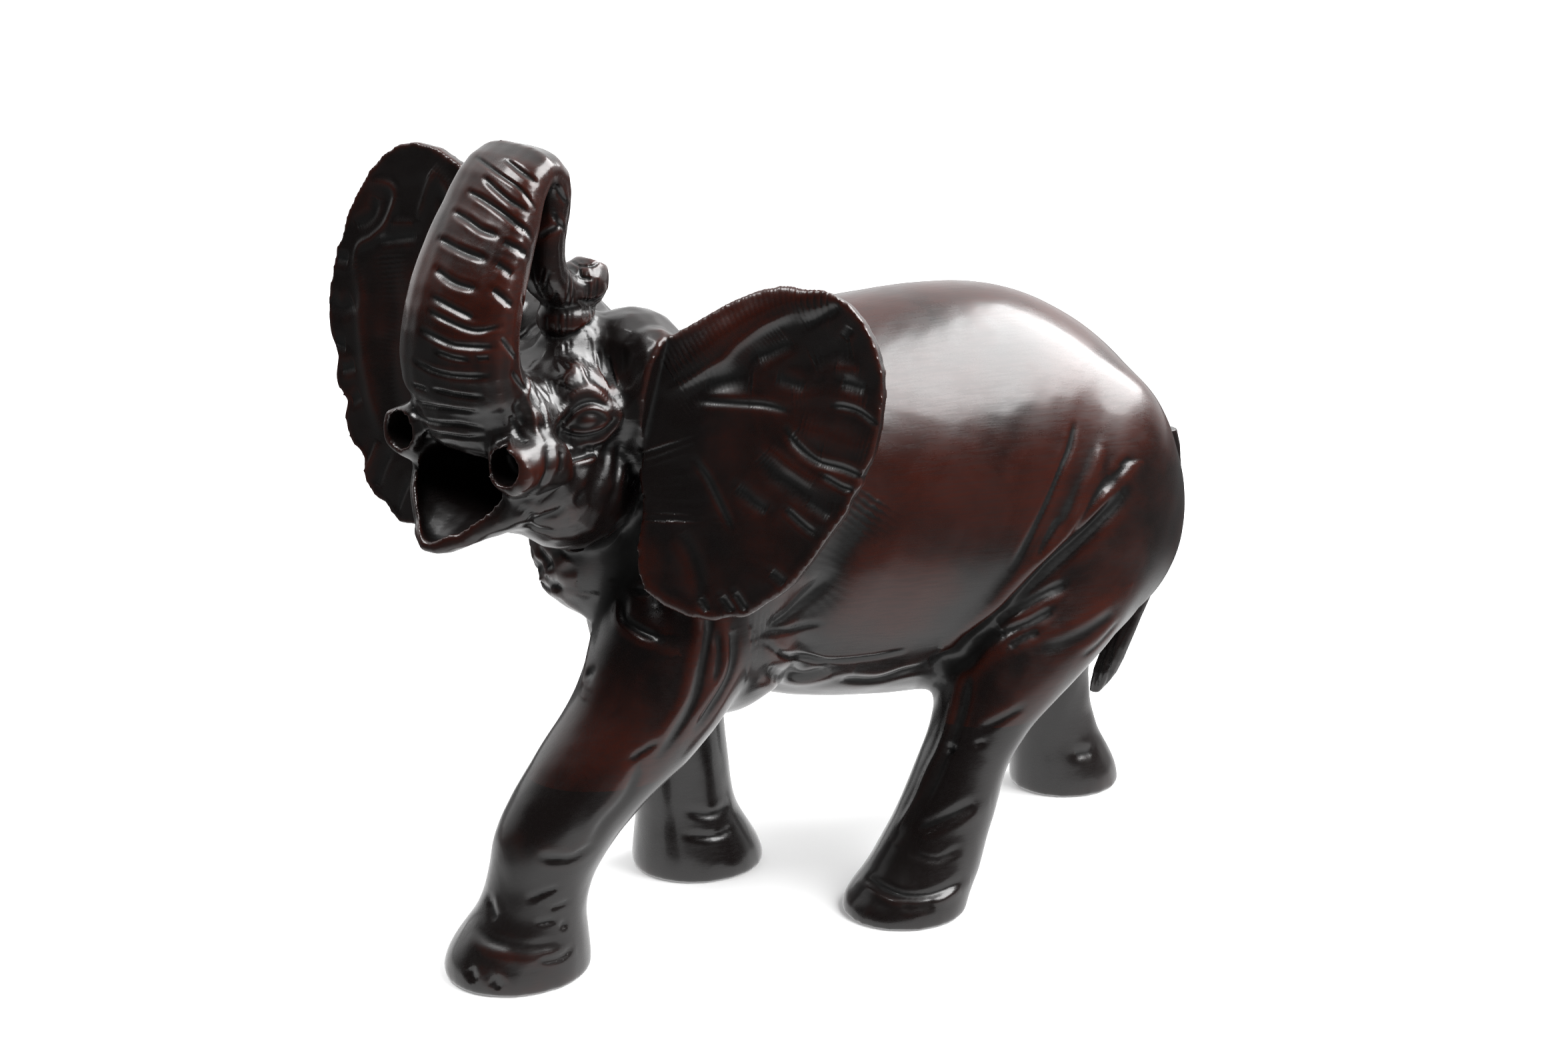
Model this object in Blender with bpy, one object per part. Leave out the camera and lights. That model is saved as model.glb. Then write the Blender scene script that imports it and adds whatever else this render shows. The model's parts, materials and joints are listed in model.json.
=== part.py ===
"""Trumpeting elephant figurine in carved, stained and polished hardwood.

The figure is glued up from ten sawn blocks and carved through the joints.  Every joint is a flat
face held by hidden dowels.  One common form is modelled first, and the blocks are then sawn out of
it, so that neighbours meet in one surface.

Frame: the elephant faces -Y, its left side is +X and its soles stand on z = 0.  Lengths in this
file are millimetres until they are written into a mesh, in metres.  Head parts are given as
(left, forward, height) in the turned and tilted frame of the head.
"""
import math

import bmesh
import bpy
from mathutils import Matrix, Vector

MM = 0.001

# Place of the figure: moves the middle of its outline box over the origin.
FIGURE_SHIFT = (-2.05, -2.65, 0.0)

# Carving of the common form.
VOXEL = 1.8
SMOOTH_STEPS = 6
FORM_TRIANGLES = 6200

# Joints.
JOINT_GAP = 0.3
LEG_JOINT_HEIGHT = 49.0
DOWEL_SIDES = 12
BORE_END_ROOM = 1.0
SAW_SIZE = 400.0

# Stance.  Half sizes are given across the body and along it.
FRONT_SOLE = (17.0, 18.0)
HIND_SOLE = (15.5, 16.4)

# The head turns to its left about the middle of the neck, and its left side hangs lower.
NECK_CENTRE = (0.0, -50.0)
HEAD_TURN = math.radians(27.0)
HEAD_TILT = math.radians(7.0)
TILT_PIVOT_HEIGHT = 130.0

# Ears.
EAR_ROOT = (25.0, 14.0, 140.0)
EAR_JOINT_LEFT = 25.5
EAR_ROOT_HALF = 4.2
EAR_EDGE_HALF = 1.7
LEFT_EAR_SWEEP = math.radians(15.0)
RIGHT_EAR_SWEEP = math.radians(-5.0)
LEFT_EAR_LEAN = math.radians(-12.0)
RIGHT_EAR_LEAN = math.radians(-8.0)

# Tusk sockets, beside the mouth; the tusks are not there.
SOCKET_LEFT = 16.8
SOCKET_HEIGHT = 131.0
SOCKET_OUTER = 6.2
SOCKET_BORE = 4.4
SOCKET_MIDDLE = 49.0
SOCKET_BORE_MIDDLE = 57.0

# How far the pairs of dowels stand to each side of the middle.
NECK_DOWEL_LEFT = 9.0
TRUNK_DOWEL_LEFT = 7.0

# Tail joint: its middle, and the half size of its notch across the body and forward.
TAIL_JOINT = (0.0, 110.0, 112.0)
TAIL_NOTCH = (5.2, 5.0)
TAIL_SAW = (30.0, 60.0, 90.0)
TAIL_ROOT_RINGS = 6

# Dowels: radius and length.
NECK_DOWEL = (4.0, 26.0)
TRUNK_DOWEL = (2.5, 14.0)
EAR_DOWEL = (1.5, 11.0)
LEG_DOWEL = (4.0, 24.0)
TAIL_DOWEL = (1.2, 7.0)

# Colours of the stained wood and of the plain dowels, which the stain never reached.
STAINED_WOOD = (0.060, 0.018, 0.012)
DARK_WOOD = (0.030, 0.014, 0.011)
DOWEL_WOOD = (0.42, 0.27, 0.15)

TURNED = (Matrix.Translation((NECK_CENTRE[0], NECK_CENTRE[1], 0.0))
          @ Matrix.Rotation(HEAD_TURN, 4, "Z"))
HEAD = (TURNED
        @ Matrix.Translation((0.0, 0.0, TILT_PIVOT_HEIGHT))
        @ Matrix.Rotation(HEAD_TILT, 4, "Y")
        @ Matrix.Translation((0.0, 0.0, -TILT_PIVOT_HEIGHT)))


# ---------------------------------------------------------------- helpers

def material(name, colour, roughness):
    """One Principled material."""
    found = bpy.data.materials.new(name)
    found.use_nodes = True
    shader = found.node_tree.nodes["Principled BSDF"]
    shader.inputs["Base Color"].default_value = (*colour, 1.0)
    shader.inputs["Roughness"].default_value = roughness
    shader.inputs["Metallic"].default_value = 0.0
    found.diffuse_color = (*colour, 1.0)
    return found


def head_point(left, forward, height):
    """A point of the head, given in the head's own directions."""
    return HEAD @ Vector((left, -forward, height))


def head_direction(left, forward, up):
    return HEAD.to_3x3() @ Vector((left, -forward, up))


def spline(stations, steps):
    """Points on a Catmull-Rom curve through the stations, each a tuple of numbers."""
    last = len(stations) - 1
    points = []
    for i in range(last):
        before = stations[max(i - 1, 0)]
        here = stations[i]
        there = stations[i + 1]
        after = stations[min(i + 2, last)]
        for k in range(steps):
            points.append(blend_station(before, here, there, after, k / steps))
    points.append(tuple(stations[last]))
    return points


def closed_spline(stations, steps):
    """The same curve, closed on itself."""
    count = len(stations)
    points = []
    for i in range(count):
        before = stations[i - 1]
        here = stations[i]
        there = stations[(i + 1) % count]
        after = stations[(i + 2) % count]
        for k in range(steps):
            points.append(blend_station(before, here, there, after, k / steps))
    return points


def blend_station(before, here, there, after, t):
    blended = []
    for a, b, c, d in zip(before, here, there, after):
        blended.append(0.5 * (2 * b + (c - a) * t
                              + (2 * a - 5 * b + 4 * c - d) * t * t
                              + (3 * b - a - 3 * c + d) * t ** 3))
    return tuple(blended)


def ring(centre, half_across, half_other, power=2.0, sides=24):
    """A superellipse round centre, spanned by two half axes."""
    points = []
    for k in range(sides):
        angle = 2 * math.pi * k / sides
        c = math.cos(angle)
        s = math.sin(angle)
        u = math.copysign(abs(c) ** (2 / power), c)
        v = math.copysign(abs(s) ** (2 / power), s)
        points.append(centre + half_across * u + half_other * v)
    return points


def add_object(name, mesh):
    made = bpy.data.objects.new(name, mesh)
    bpy.context.scene.collection.objects.link(made)
    made.parent = bpy.data.objects["elephant"]
    return made


def finish_mesh(name, shape):
    """Turn a bmesh in millimetres into a closed, outward-facing object in metres."""
    bmesh.ops.recalc_face_normals(shape, faces=shape.faces)
    bmesh.ops.scale(shape, vec=(MM, MM, MM), verts=shape.verts)
    mesh = bpy.data.meshes.new(name)
    shape.to_mesh(mesh)
    shape.free()
    mesh.shade_smooth()
    return add_object(name, mesh)


def skin(name, rings):
    """A closed skin over a row of rings with the same number of points."""
    shape = bmesh.new()
    rows = [[shape.verts.new(point) for point in points] for points in rings]
    sides = len(rings[0])
    for lower, upper in zip(rows, rows[1:]):
        for k in range(sides):
            after = (k + 1) % sides
            shape.faces.new((lower[k], lower[after], upper[after], upper[k]))
    for row in (rows[0], rows[-1]):
        middle = shape.verts.new(sum((v.co for v in row), Vector()) / sides)
        for k in range(sides):
            shape.faces.new((row[k], row[(k + 1) % sides], middle))
    return finish_mesh(name, shape)


def lump(name, centre, radii, frame=Matrix.Identity(4), turn=0.0):
    """An ellipsoid, turned about its own first axis, in the given frame."""
    shape = bmesh.new()
    bmesh.ops.create_icosphere(shape, subdivisions=3, radius=1.0)
    stretch = Matrix.Diagonal((*radii, 1.0))
    place = (frame @ Matrix.Translation(centre)
             @ Matrix.Rotation(math.radians(turn), 4, "X") @ stretch)
    bmesh.ops.transform(shape, matrix=place, verts=shape.verts)
    return finish_mesh(name, shape)


def head_lump(name, left, forward, height, radii, turn=0.0):
    return lump(name, (left, -forward, height), radii, HEAD, turn)


def mark_cutter(cutter):
    cutter.hide_render = True
    cutter.display_type = "WIRE"
    return cutter


def block(name, low, high, frame=Matrix.Identity(4)):
    """A box between two corners in the given frame, used to saw."""
    shape = bmesh.new()
    bmesh.ops.create_cube(shape, size=1.0)
    size = [b - a for a, b in zip(low, high)]
    middle = [(a + b) / 2 for a, b in zip(low, high)]
    place = frame @ Matrix.Translation(middle) @ Matrix.Diagonal((*size, 1.0))
    bmesh.ops.transform(shape, matrix=place, verts=shape.verts)
    return mark_cutter(finish_mesh(name, shape))


def rod(name, centre, direction, radius, length, sides=DOWEL_SIDES):
    """A round bar about centre, with a small chamfer at each end."""
    axis = direction.normalized()
    across = axis.orthogonal().normalized()
    other = axis.cross(across)
    chamfer = min(0.5, radius * 0.2)
    profile = ((-length / 2, radius - chamfer), (-length / 2 + chamfer, radius),
               (length / 2 - chamfer, radius), (length / 2, radius - chamfer))
    rings = [ring(centre + axis * along, across * size, other * size, sides=sides)
             for along, size in profile]
    return skin(name, rings)


def boolean(target, cutter, operation="DIFFERENCE"):
    cut = target.modifiers.new(cutter.name, "BOOLEAN")
    cut.object = cutter
    cut.operation = operation
    cut.solver = "EXACT"


def evaluated_copy(source, name):
    """A plain mesh of what the source's modifiers give."""
    graph = bpy.context.evaluated_depsgraph_get()
    mesh = bpy.data.meshes.new_from_object(source.evaluated_get(graph))
    mesh.name = name
    return mesh


# ---------------------------------------------------------------- lumps of the common form

def torso():
    """Barrel of the body: y, top, bottom, half width."""
    stations = [(-56, 126, 96, 13), (-48, 141, 77, 24), (-34, 148, 64, 31), (-12, 152.5, 54, 35.5),
                (14, 155.5, 50, 38), (40, 157, 49.5, 39), (60, 154, 52, 38.5), (79, 144, 57, 36),
                (93, 130, 63, 31), (102, 117, 72, 23), (106.5, 103, 84, 12)]
    rings = []
    for y, top, bottom, half_width in spline(stations, 3):
        centre = Vector((0, y, (top + bottom) / 2))
        rings.append(ring(centre, Vector((half_width, 0, 0)),
                          Vector((0, 0, (top - bottom) / 2)), 2.15, 36))
    return skin("torso_lump", rings)


def leg(name, stations):
    """A leg: height, x, y, half size across and along the body."""
    rings = []
    for z, x, y, across, along in spline(stations, 3):
        rings.append(ring(Vector((x, y, z)), Vector((across, 0, 0)), Vector((0, along, 0))))
    return skin(name + "_lump", rings)


def legs():
    """The four legs in a walk; each runs on below the ground and is sawn flat there."""
    wide, long = FRONT_SOLE
    front_left = [(-6, 22, -87.5, wide, long), (3, 22, -87.5, wide, long),
                  (10, 22.5, -86, 15.5, 15.8), (16, 23, -84, 13.3, 13.2),
                  (24, 23.5, -81.5, 12.6, 12.8), (34, 24, -77.5, 14, 15.2),
                  (42, 24, -71.5, 15.5, 17), (52, 24, -62, 17, 20), (66, 24, -51, 18, 20.5),
                  (84, 22, -42, 18, 22), (100, 19, -36, 14, 18)]
    front_right = [(-6, -20, -22.5, wide, long), (3, -20, -22.5, wide, long),
                   (10, -20, -24, 15.3, 15.8), (18, -20, -26, 13.2, 13.4),
                   (30, -20.5, -27.5, 13, 13.5), (45, -21, -30, 14, 14.5),
                   (58, -22, -32, 16, 16.5), (82, -21, -32, 18, 21), (100, -18, -28, 14, 18)]
    wide, long = HIND_SOLE
    hind_left = [(-6, 31, 13.5, wide, long), (3, 31, 14, wide, long),
                 (10, 30.5, 19, 14, 15.2), (18, 30, 23, 12.6, 14), (26, 29.5, 27, 12, 13),
                 (36, 29, 31, 11.6, 12.2), (46, 28.5, 37, 12.5, 13.5),
                 (55, 27, 44, 15, 18), (68, 24, 54, 18, 25), (86, 21, 64, 18, 30),
                 (104, 16, 70, 13, 24)]
    hind_right = [(-6, -29, 99.5, wide, long), (3, -29, 99.5, wide, long),
                  (10, -29, 98, 14, 15), (18, -29, 95.5, 12.4, 13),
                  (30, -28.5, 92.5, 12, 12.4), (44, -28, 89.5, 13.5, 15),
                  (58, -26, 85, 16, 20), (76, -23, 80, 18, 25), (98, -18, 76, 15, 26)]
    return [leg("front_left", front_left), leg("front_right", front_right),
            leg("hind_left", hind_left), leg("hind_right", hind_right)]


def body_lumps():
    """Shoulders, haunches, neck and the loose skin under the throat."""
    return [
        lump("left_shoulder_lump", (19, -32, 94), (20, 25, 38)),
        lump("right_shoulder_lump", (-19, -26, 94), (20, 24, 37)),
        lump("left_haunch_lump", (19, 66, 97), (21, 33, 42), turn=-14),
        lump("right_haunch_lump", (-19, 74.5, 95), (21, 30, 42)),
        lump("neck_lump", (1, -47, 124), (25, 27, 26)),
        lump("dewlap_lump", (7, -61.5, 99), (14, 14, 17)),
    ]


def socket_direction(side):
    return head_direction(0.12 * side, 1, -0.12)


def head_lumps():
    """Skull, brow, cheeks, root of the trunk, sockets of the tusks and ear roots."""
    made = [
        head_lump("skull_lump", 0, 5, 132, (23.5, 30, 21.5)),
        head_lump("brow_lump", 0, 25, 138, (22, 17, 13)),
        head_lump("muzzle_lump", 0, 45, 138, (17, 15, 10.5)),
        head_lump("forehead_boss_lump", 2, 19, 151, (8, 12, 7.5)),
    ]
    for side in (1, -1):
        made.append(head_lump("crown_lump", 11 * side, 9, 148, (14, 12, 12)))
        made.append(head_lump("cheek_lump", 13 * side, 28, 119, (10, 19, 14)))
        made.append(head_lump("ear_root_lump", 21.5 * side, 14, 141, (12, 8.5, 17.5)))
        made.append(rod("socket_lump", head_point(SOCKET_LEFT * side, SOCKET_MIDDLE, SOCKET_HEIGHT),
                        socket_direction(side), SOCKET_OUTER, 17))
    return made


def jaw():
    """Lower jaw, narrowing to the pointed lip: forward, height, half width, half height."""
    stations = [(14, 119, 15, 12), (28, 119, 17.5, 11.5), (38, 119.5, 18, 11.5),
                (46, 120.5, 18, 10), (51, 119.5, 17.3, 9), (54, 118, 15.5, 8),
                (56.5, 115, 12.5, 6.5), (59, 112, 9, 4.8), (61.5, 110, 5.5, 3.2),
                (63.2, 109, 2.4, 1.8)]
    rings = []
    for forward, height, across, up in spline(stations, 3):
        rings.append(ring(head_point(0, forward, height), head_direction(across, 0, 0),
                          head_direction(0, 0, up)))
    return skin("jaw_lump", rings)


def trunk_rings():
    """The trunk: left, forward, height, half width, half thickness along its bent path."""
    stations = [(-0.5, 36, 135, 15, 10), (-0.7, 46, 139, 16, 10.5), (-0.9, 53, 147, 16, 9.3),
                (-1, 54.5, 156, 15.6, 8), (-1.3, 53, 165.5, 15.2, 7.2), (-1.8, 49.4, 175, 14.4, 6.4),
                (-2.2, 45.8, 182.5, 13.2, 5.8), (-2.4, 42.8, 189, 12, 5.4),
                (-2.5, 38, 193.2, 11, 5.0), (-2.3, 33, 190.8, 9.8, 4.6),
                (-1.6, 31.6, 184, 8.4, 4.3), (-0.6, 32.6, 176.5, 7.4, 4.2), (0.6, 31.6, 169.5, 6.4, 4.3),
                (1.6, 27, 164.8, 5.6, 4.6), (2.2, 22.5, 164, 5.7, 5.2), (2.6, 19, 166.5, 5.7, 5.4),
                (2.8, 17.2, 170.3, 3.4, 3)]
    path = spline(stations, 2)
    rings = []
    for i, (left, forward, height, across, thick) in enumerate(path):
        before = head_point(*path[max(i - 1, 0)][:3])
        after = head_point(*path[min(i + 1, len(path) - 1)][:3])
        side = head_direction(1, 0, 0)
        outward = side.cross(after - before).normalized()
        rings.append(ring(head_point(left, forward, height), side * across, outward * thick,
                          2.5, 20))
    return rings


def tail_rings():
    """The tail: x, y, height, half size; it hangs just clear of the rump and ends in a tuft."""
    stations = [(0, 97.5, 124, 5), (0, 103.5, 119, 4.8), (0, 109.3, 112, 4.1), (0, 112.3, 102, 3.2),
                (-0.5, 112.4, 89, 2.9), (-1.5, 109.3, 72, 2.7), (-2.5, 103.6, 58, 2.8),
                (-3.5, 99.8, 50, 3.6), (-4.5, 96.6, 42, 3.5), (-5.5, 94, 36, 1.4)]
    rings = []
    for x, y, z, half in spline(stations, 2):
        rings.append(ring(Vector((x, y, z)), Vector((half, 0, 0)), Vector((0, half * 0.9, 0)),
                          sides=12))
    return rings


# ---------------------------------------------------------------- ears

def ear_frame(side, sweep, lean):
    """Frame of an ear: X outward on the left side, -Y forward, Z up, at the middle of its root."""
    left, forward, height = EAR_ROOT
    return (HEAD @ Matrix.Translation((left * side, -forward, height))
            @ Matrix.Rotation(sweep * side, 4, "Z") @ Matrix.Rotation(lean, 4, "X"))


def ear(name, side, frame, outline, middle, dish, curl):
    """A dished sheet inside an outline of (outward, height) points.

    The sheet is two sets of rings that shrink from the outline to its middle, one for the front
    face and one for the back.  dish bends the outer part forward and curl rolls the top over.
    """
    edge = closed_spline(outline, 2)
    lowest = min(point[1] for point in edge)
    highest = max(point[1] for point in edge)
    reach = max(point[0] for point in edge)

    def place(outward, height, face):
        near_root = max(0.0, 1.0 - outward / 22.0)
        half = EAR_EDGE_HALF + (EAR_ROOT_HALF - EAR_EDGE_HALF) * near_root ** 1.5
        out = max(outward, 0.0) / reach
        up = (height - lowest) / (highest - lowest)
        forward = dish * out * out + curl * max(0.0, up - 0.7) ** 2 * 11.0 * out
        return frame @ Vector((outward * side, -(forward + half * face), height))

    scales = (0.04, 0.3, 0.55, 0.78, 0.93, 1.0)
    rings = []
    for face, order in ((1, scales), (-1, scales[::-1])):
        for scale in order:
            points = [(middle[0] + (u - middle[0]) * scale, middle[1] + (v - middle[1]) * scale)
                      for u, v in edge]
            rings.append([place(u, v, face) for u, v in points])
    return skin(name, rings)


LEFT_EAR_OUTLINE = [(-6, 13), (1, 17), (8, 22.5), (20, 30.5), (36, 33), (45, 28), (50.5, 18), (52, 6),
                    (50.5, -8), (45, -21), (39, -33), (29, -43), (16, -46), (5, -42),
                    (1.5, -33), (1, -22), (-3, -12), (-6, 2)]
RIGHT_EAR_OUTLINE = [(-6, 13), (1, 18.5), (8, 29), (22, 43.5), (36, 46.5), (45, 42), (52, 32), (56.5, 19),
                     (57.5, 4), (54, -10), (48, -25), (41, -36), (34, -44), (25, -48), (13, -44),
                     (4, -35), (1, -22), (-3, -12), (-6, 2)]


# ---------------------------------------------------------------- hollows of the head

def mouth():
    """The open mouth, a trough along the lower jaw: forward, height, half width, half height."""
    stations = [(33, 121, 8, 3), (42, 122.5, 12, 6), (50, 123, 13.8, 8), (54, 122, 13.2, 9),
                (56.5, 121, 11.5, 9.5), (59, 119.5, 9, 9.5), (61.5, 119, 5.8, 9.1), (66, 118, 4, 8.8),
                (74, 117, 3.5, 8.5)]
    rings = []
    for forward, height, across, up in spline(stations, 2):
        rings.append(ring(head_point(0, forward, height), head_direction(across, 0, 0),
                          head_direction(0, 0, up), sides=18))
    return mark_cutter(skin("mouth", rings))


def tusk_socket(side):
    """Round bore of an empty tusk socket."""
    centre = head_point(SOCKET_LEFT * side, SOCKET_BORE_MIDDLE, SOCKET_HEIGHT)
    name = "tusk_socket_%s" % ("left" if side > 0 else "right")
    return mark_cutter(rod(name, centre, socket_direction(side), SOCKET_BORE, 14, 16))


# ---------------------------------------------------------------- joints

def half_space(name, point, normal, offset):
    """A big block on the side of a joint plane that normal points to, offset along normal."""
    axis = normal.normalized()
    across = axis.orthogonal().normalized()
    other = axis.cross(across)
    turn = Matrix((across, other, axis)).transposed().to_4x4()
    place = Matrix.Translation(point + axis * offset) @ turn
    return block(name, (-SAW_SIZE, -SAW_SIZE, 0), (SAW_SIZE, SAW_SIZE, SAW_SIZE), place)


def saw(first, second, point, normal):
    """Part two blocks at a plane: first keeps the side away from normal, second the other."""
    name = "saw_%s_%s" % (first.name, second.name)
    boolean(first, half_space(name + "_a", point, normal, -JOINT_GAP / 2))
    boolean(second, half_space(name + "_b", point, -normal, -JOINT_GAP / 2))


def dowel(name, centre, direction, radius, length, wood, holders):
    """A hidden dowel across a joint, and its bore in both blocks."""
    made = rod(name, centre, direction, radius, length)
    made.data.materials.append(wood)
    bore = mark_cutter(rod(name + "_bore", centre, direction, radius + JOINT_GAP,
                           length + 2 * BORE_END_ROOM))
    for holder in holders:
        boolean(holder, bore)
    return made


# ---------------------------------------------------------------- the figure

def common_form():
    """The lumps fused, smoothed and thinned into one closed mesh."""
    pieces = [torso(), jaw()] + legs() + body_lumps() + head_lumps()
    pieces.append(skin("trunk_lump", trunk_rings()))
    pieces.append(skin("tail_root_lump", tail_rings()[:TAIL_ROOT_RINGS]))
    shape = bmesh.new()
    for piece in pieces:
        shape.from_mesh(piece.data)
        bpy.data.objects.remove(piece, do_unlink=True)
    mesh = bpy.data.meshes.new("lumps")
    shape.to_mesh(mesh)
    shape.free()

    form = add_object("form", mesh)
    fuse = form.modifiers.new("fuse", "REMESH")
    fuse.mode = "VOXEL"
    fuse.voxel_size = VOXEL * MM
    soften = form.modifiers.new("soften", "SMOOTH")
    soften.factor = 0.5
    soften.iterations = SMOOTH_STEPS
    form.data = evaluated_copy(form, "fused")
    form.modifiers.clear()
    thin_out = form.modifiers.new("thin_out", "DECIMATE")
    triangles = sum(len(face.vertices) - 2 for face in form.data.polygons)
    thin_out.ratio = FORM_TRIANGLES / triangles
    carved = evaluated_copy(form, "carved")
    bpy.data.objects.remove(form, do_unlink=True)
    return carved


def block_of(carved, name, wood):
    """A block that starts as the whole form and is sawn down later."""
    made = add_object(name, carved.copy())
    made.data.materials.clear()
    made.data.materials.append(wood)
    return made


def make_legs(carved, body, wood, dowel_wood):
    """The four lower legs, each sawn off level and held by one dowel along the leg."""
    boolean(body, block("saw_legs", (-SAW_SIZE, -SAW_SIZE, -SAW_SIZE),
                        (SAW_SIZE, SAW_SIZE, LEG_JOINT_HEIGHT + JOINT_GAP / 2)))
    top = LEG_JOINT_HEIGHT - JOINT_GAP / 2
    for name, low, high, dowel_place, lean in LEG_BLOCKS:
        made = block_of(carved, name, wood)
        boolean(made, block(name + "_block", (*low, 0), (*high, top)), "INTERSECT")
        dowel(name + "_dowel", Vector((*dowel_place, LEG_JOINT_HEIGHT)), Vector(lean),
              LEG_DOWEL[0], LEG_DOWEL[1], dowel_wood, (body, made))


def make_trunk(wood):
    """The trunk, with the pad under its tip that rests on the forehead."""
    made = skin("trunk", trunk_rings())
    made.data.materials.append(wood)
    pad = mark_cutter(head_lump("trunk_pad", 2, 23.5, 157.5, (6.5, 7.5, 6)))
    boolean(made, pad, "UNION")
    return made


def make_ears(head, wood, dowel_wood):
    """Both ears, each on a flat side of the head with two slim dowels."""
    for side, name, outline, middle, sweep, lean, dish, curl in EARS:
        frame = ear_frame(side, sweep, lean)
        made = ear(name, side, frame, outline, middle, dish, curl)
        made.data.materials.append(wood)
        saw(head, made, head_point(EAR_JOINT_LEFT * side, 0, EAR_ROOT[2]),
            head_direction(side, 0, 0))
        outward = frame.to_3x3() @ Vector((side, 0, 0))
        for place, height in (("upper", 6.5), ("lower", -6.5)):
            centre = frame @ Vector((0.5 * side, 0, height))
            dowel("%s_%s_dowel" % (name, place), centre, outward, EAR_DOWEL[0], EAR_DOWEL[1],
                  dowel_wood, (head, made))


def make_tail(body, wood, dowel_wood):
    """The tail, let into a level notch under its root."""
    made = skin("tail", tail_rings())
    made.data.materials.append(wood)
    x, y, height = TAIL_JOINT
    above = block("saw_tail_root", (x - TAIL_SAW[0], y - TAIL_SAW[1], height - JOINT_GAP / 2),
                  (x + TAIL_SAW[0], y + TAIL_SAW[1], height + TAIL_SAW[2]))
    boolean(made, above)
    below = block("saw_tail_notch", (x - TAIL_NOTCH[0], y - TAIL_NOTCH[1], height - TAIL_SAW[1]),
                  (x + TAIL_NOTCH[0], y + TAIL_SAW[1], height + JOINT_GAP / 2))
    boolean(body, below)
    dowel("tail_dowel", Vector(TAIL_JOINT), Vector((0, -0.3, 1)), TAIL_DOWEL[0], TAIL_DOWEL[1],
          dowel_wood, (body, made))


def build():
    for old in list(bpy.data.objects):
        bpy.data.objects.remove(old, do_unlink=True)
    root = bpy.data.objects.new("elephant", None)
    bpy.context.scene.collection.objects.link(root)
    root.location = [value * MM for value in FIGURE_SHIFT]

    stained = material("stained_hardwood", STAINED_WOOD, 0.28)
    dark = material("dark_stained_hardwood", DARK_WOOD, 0.32)
    plain = material("plain_dowel_wood", DOWEL_WOOD, 0.6)

    carved = common_form()
    body = block_of(carved, "body", stained)
    head = block_of(carved, "head", stained)
    saw(body, head, NECK_JOINT_POINT, NECK_JOINT_AXIS)
    trunk = make_trunk(stained)
    saw(head, trunk, TRUNK_JOINT_POINT, TRUNK_JOINT_AXIS)
    make_ears(head, stained, plain)
    boolean(head, mouth())
    for side in (1, -1):
        boolean(head, tusk_socket(side))
        name = "left" if side > 0 else "right"
        dowel("neck_dowel_" + name, head_point(NECK_DOWEL_LEFT * side, 10, 121.5), NECK_JOINT_AXIS,
              NECK_DOWEL[0], NECK_DOWEL[1], plain, (body, head))
        dowel("trunk_dowel_" + name, head_point(-1 + TRUNK_DOWEL_LEFT * side, 50, 146), TRUNK_JOINT_AXIS,
              TRUNK_DOWEL[0], TRUNK_DOWEL[1], plain, (head, trunk))
    make_legs(carved, body, dark, plain)
    make_tail(body, dark, plain)


# Joint planes of the neck and the trunk.
NECK_JOINT_POINT = head_point(0, 10, 121.5)
NECK_JOINT_AXIS = head_direction(0, 0.68, 0.733)
TRUNK_JOINT_POINT = head_point(0, 50, 146)
TRUNK_JOINT_AXIS = head_direction(0, 0.387, 0.922)

# Each ear: side, name, outline, its middle, sweep back, lean, dish and curl.
EARS = ((1, "left_ear", LEFT_EAR_OUTLINE, (24, -6), LEFT_EAR_SWEEP, LEFT_EAR_LEAN, -3.0, 4.0),
        (-1, "right_ear", RIGHT_EAR_OUTLINE, (26, 0), RIGHT_EAR_SWEEP, RIGHT_EAR_LEAN, 2.0, 2.0))

# Each lower leg: name, the two corners of its block, its dowel's place and lean.
LEG_BLOCKS = (("front_left_leg", (0, -150), (100, -15), (24, -65), (0, 22, 24)),
              ("front_right_leg", (-100, -150), (0, 30), (-21, -30), (0, -0.1, 1)),
              ("hind_left_leg", (0, -15), (100, 150), (28.2, 39), (-0.1, 0.65, 1)),
              ("hind_right_leg", (-100, 30), (0, 150), (-27.5, 88.5), (0.05, -0.3, 1)))

build()
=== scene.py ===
"""Looks of the trumpeting elephant figurine: the fine carving of its skin and its polished stain.

The sawn CAD blocks are fused into one stock, which is smoothed and carved with grooves, folds and
ridges, and then parted again at the same joint planes.  Carving is worked out in millimetres, in
numpy arrays, and written into meshes in metres.
"""
import json
import math

import bmesh
import bpy
import numpy as np
from mathutils import Matrix, Vector
from mathutils.bvhtree import BVHTree

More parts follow.
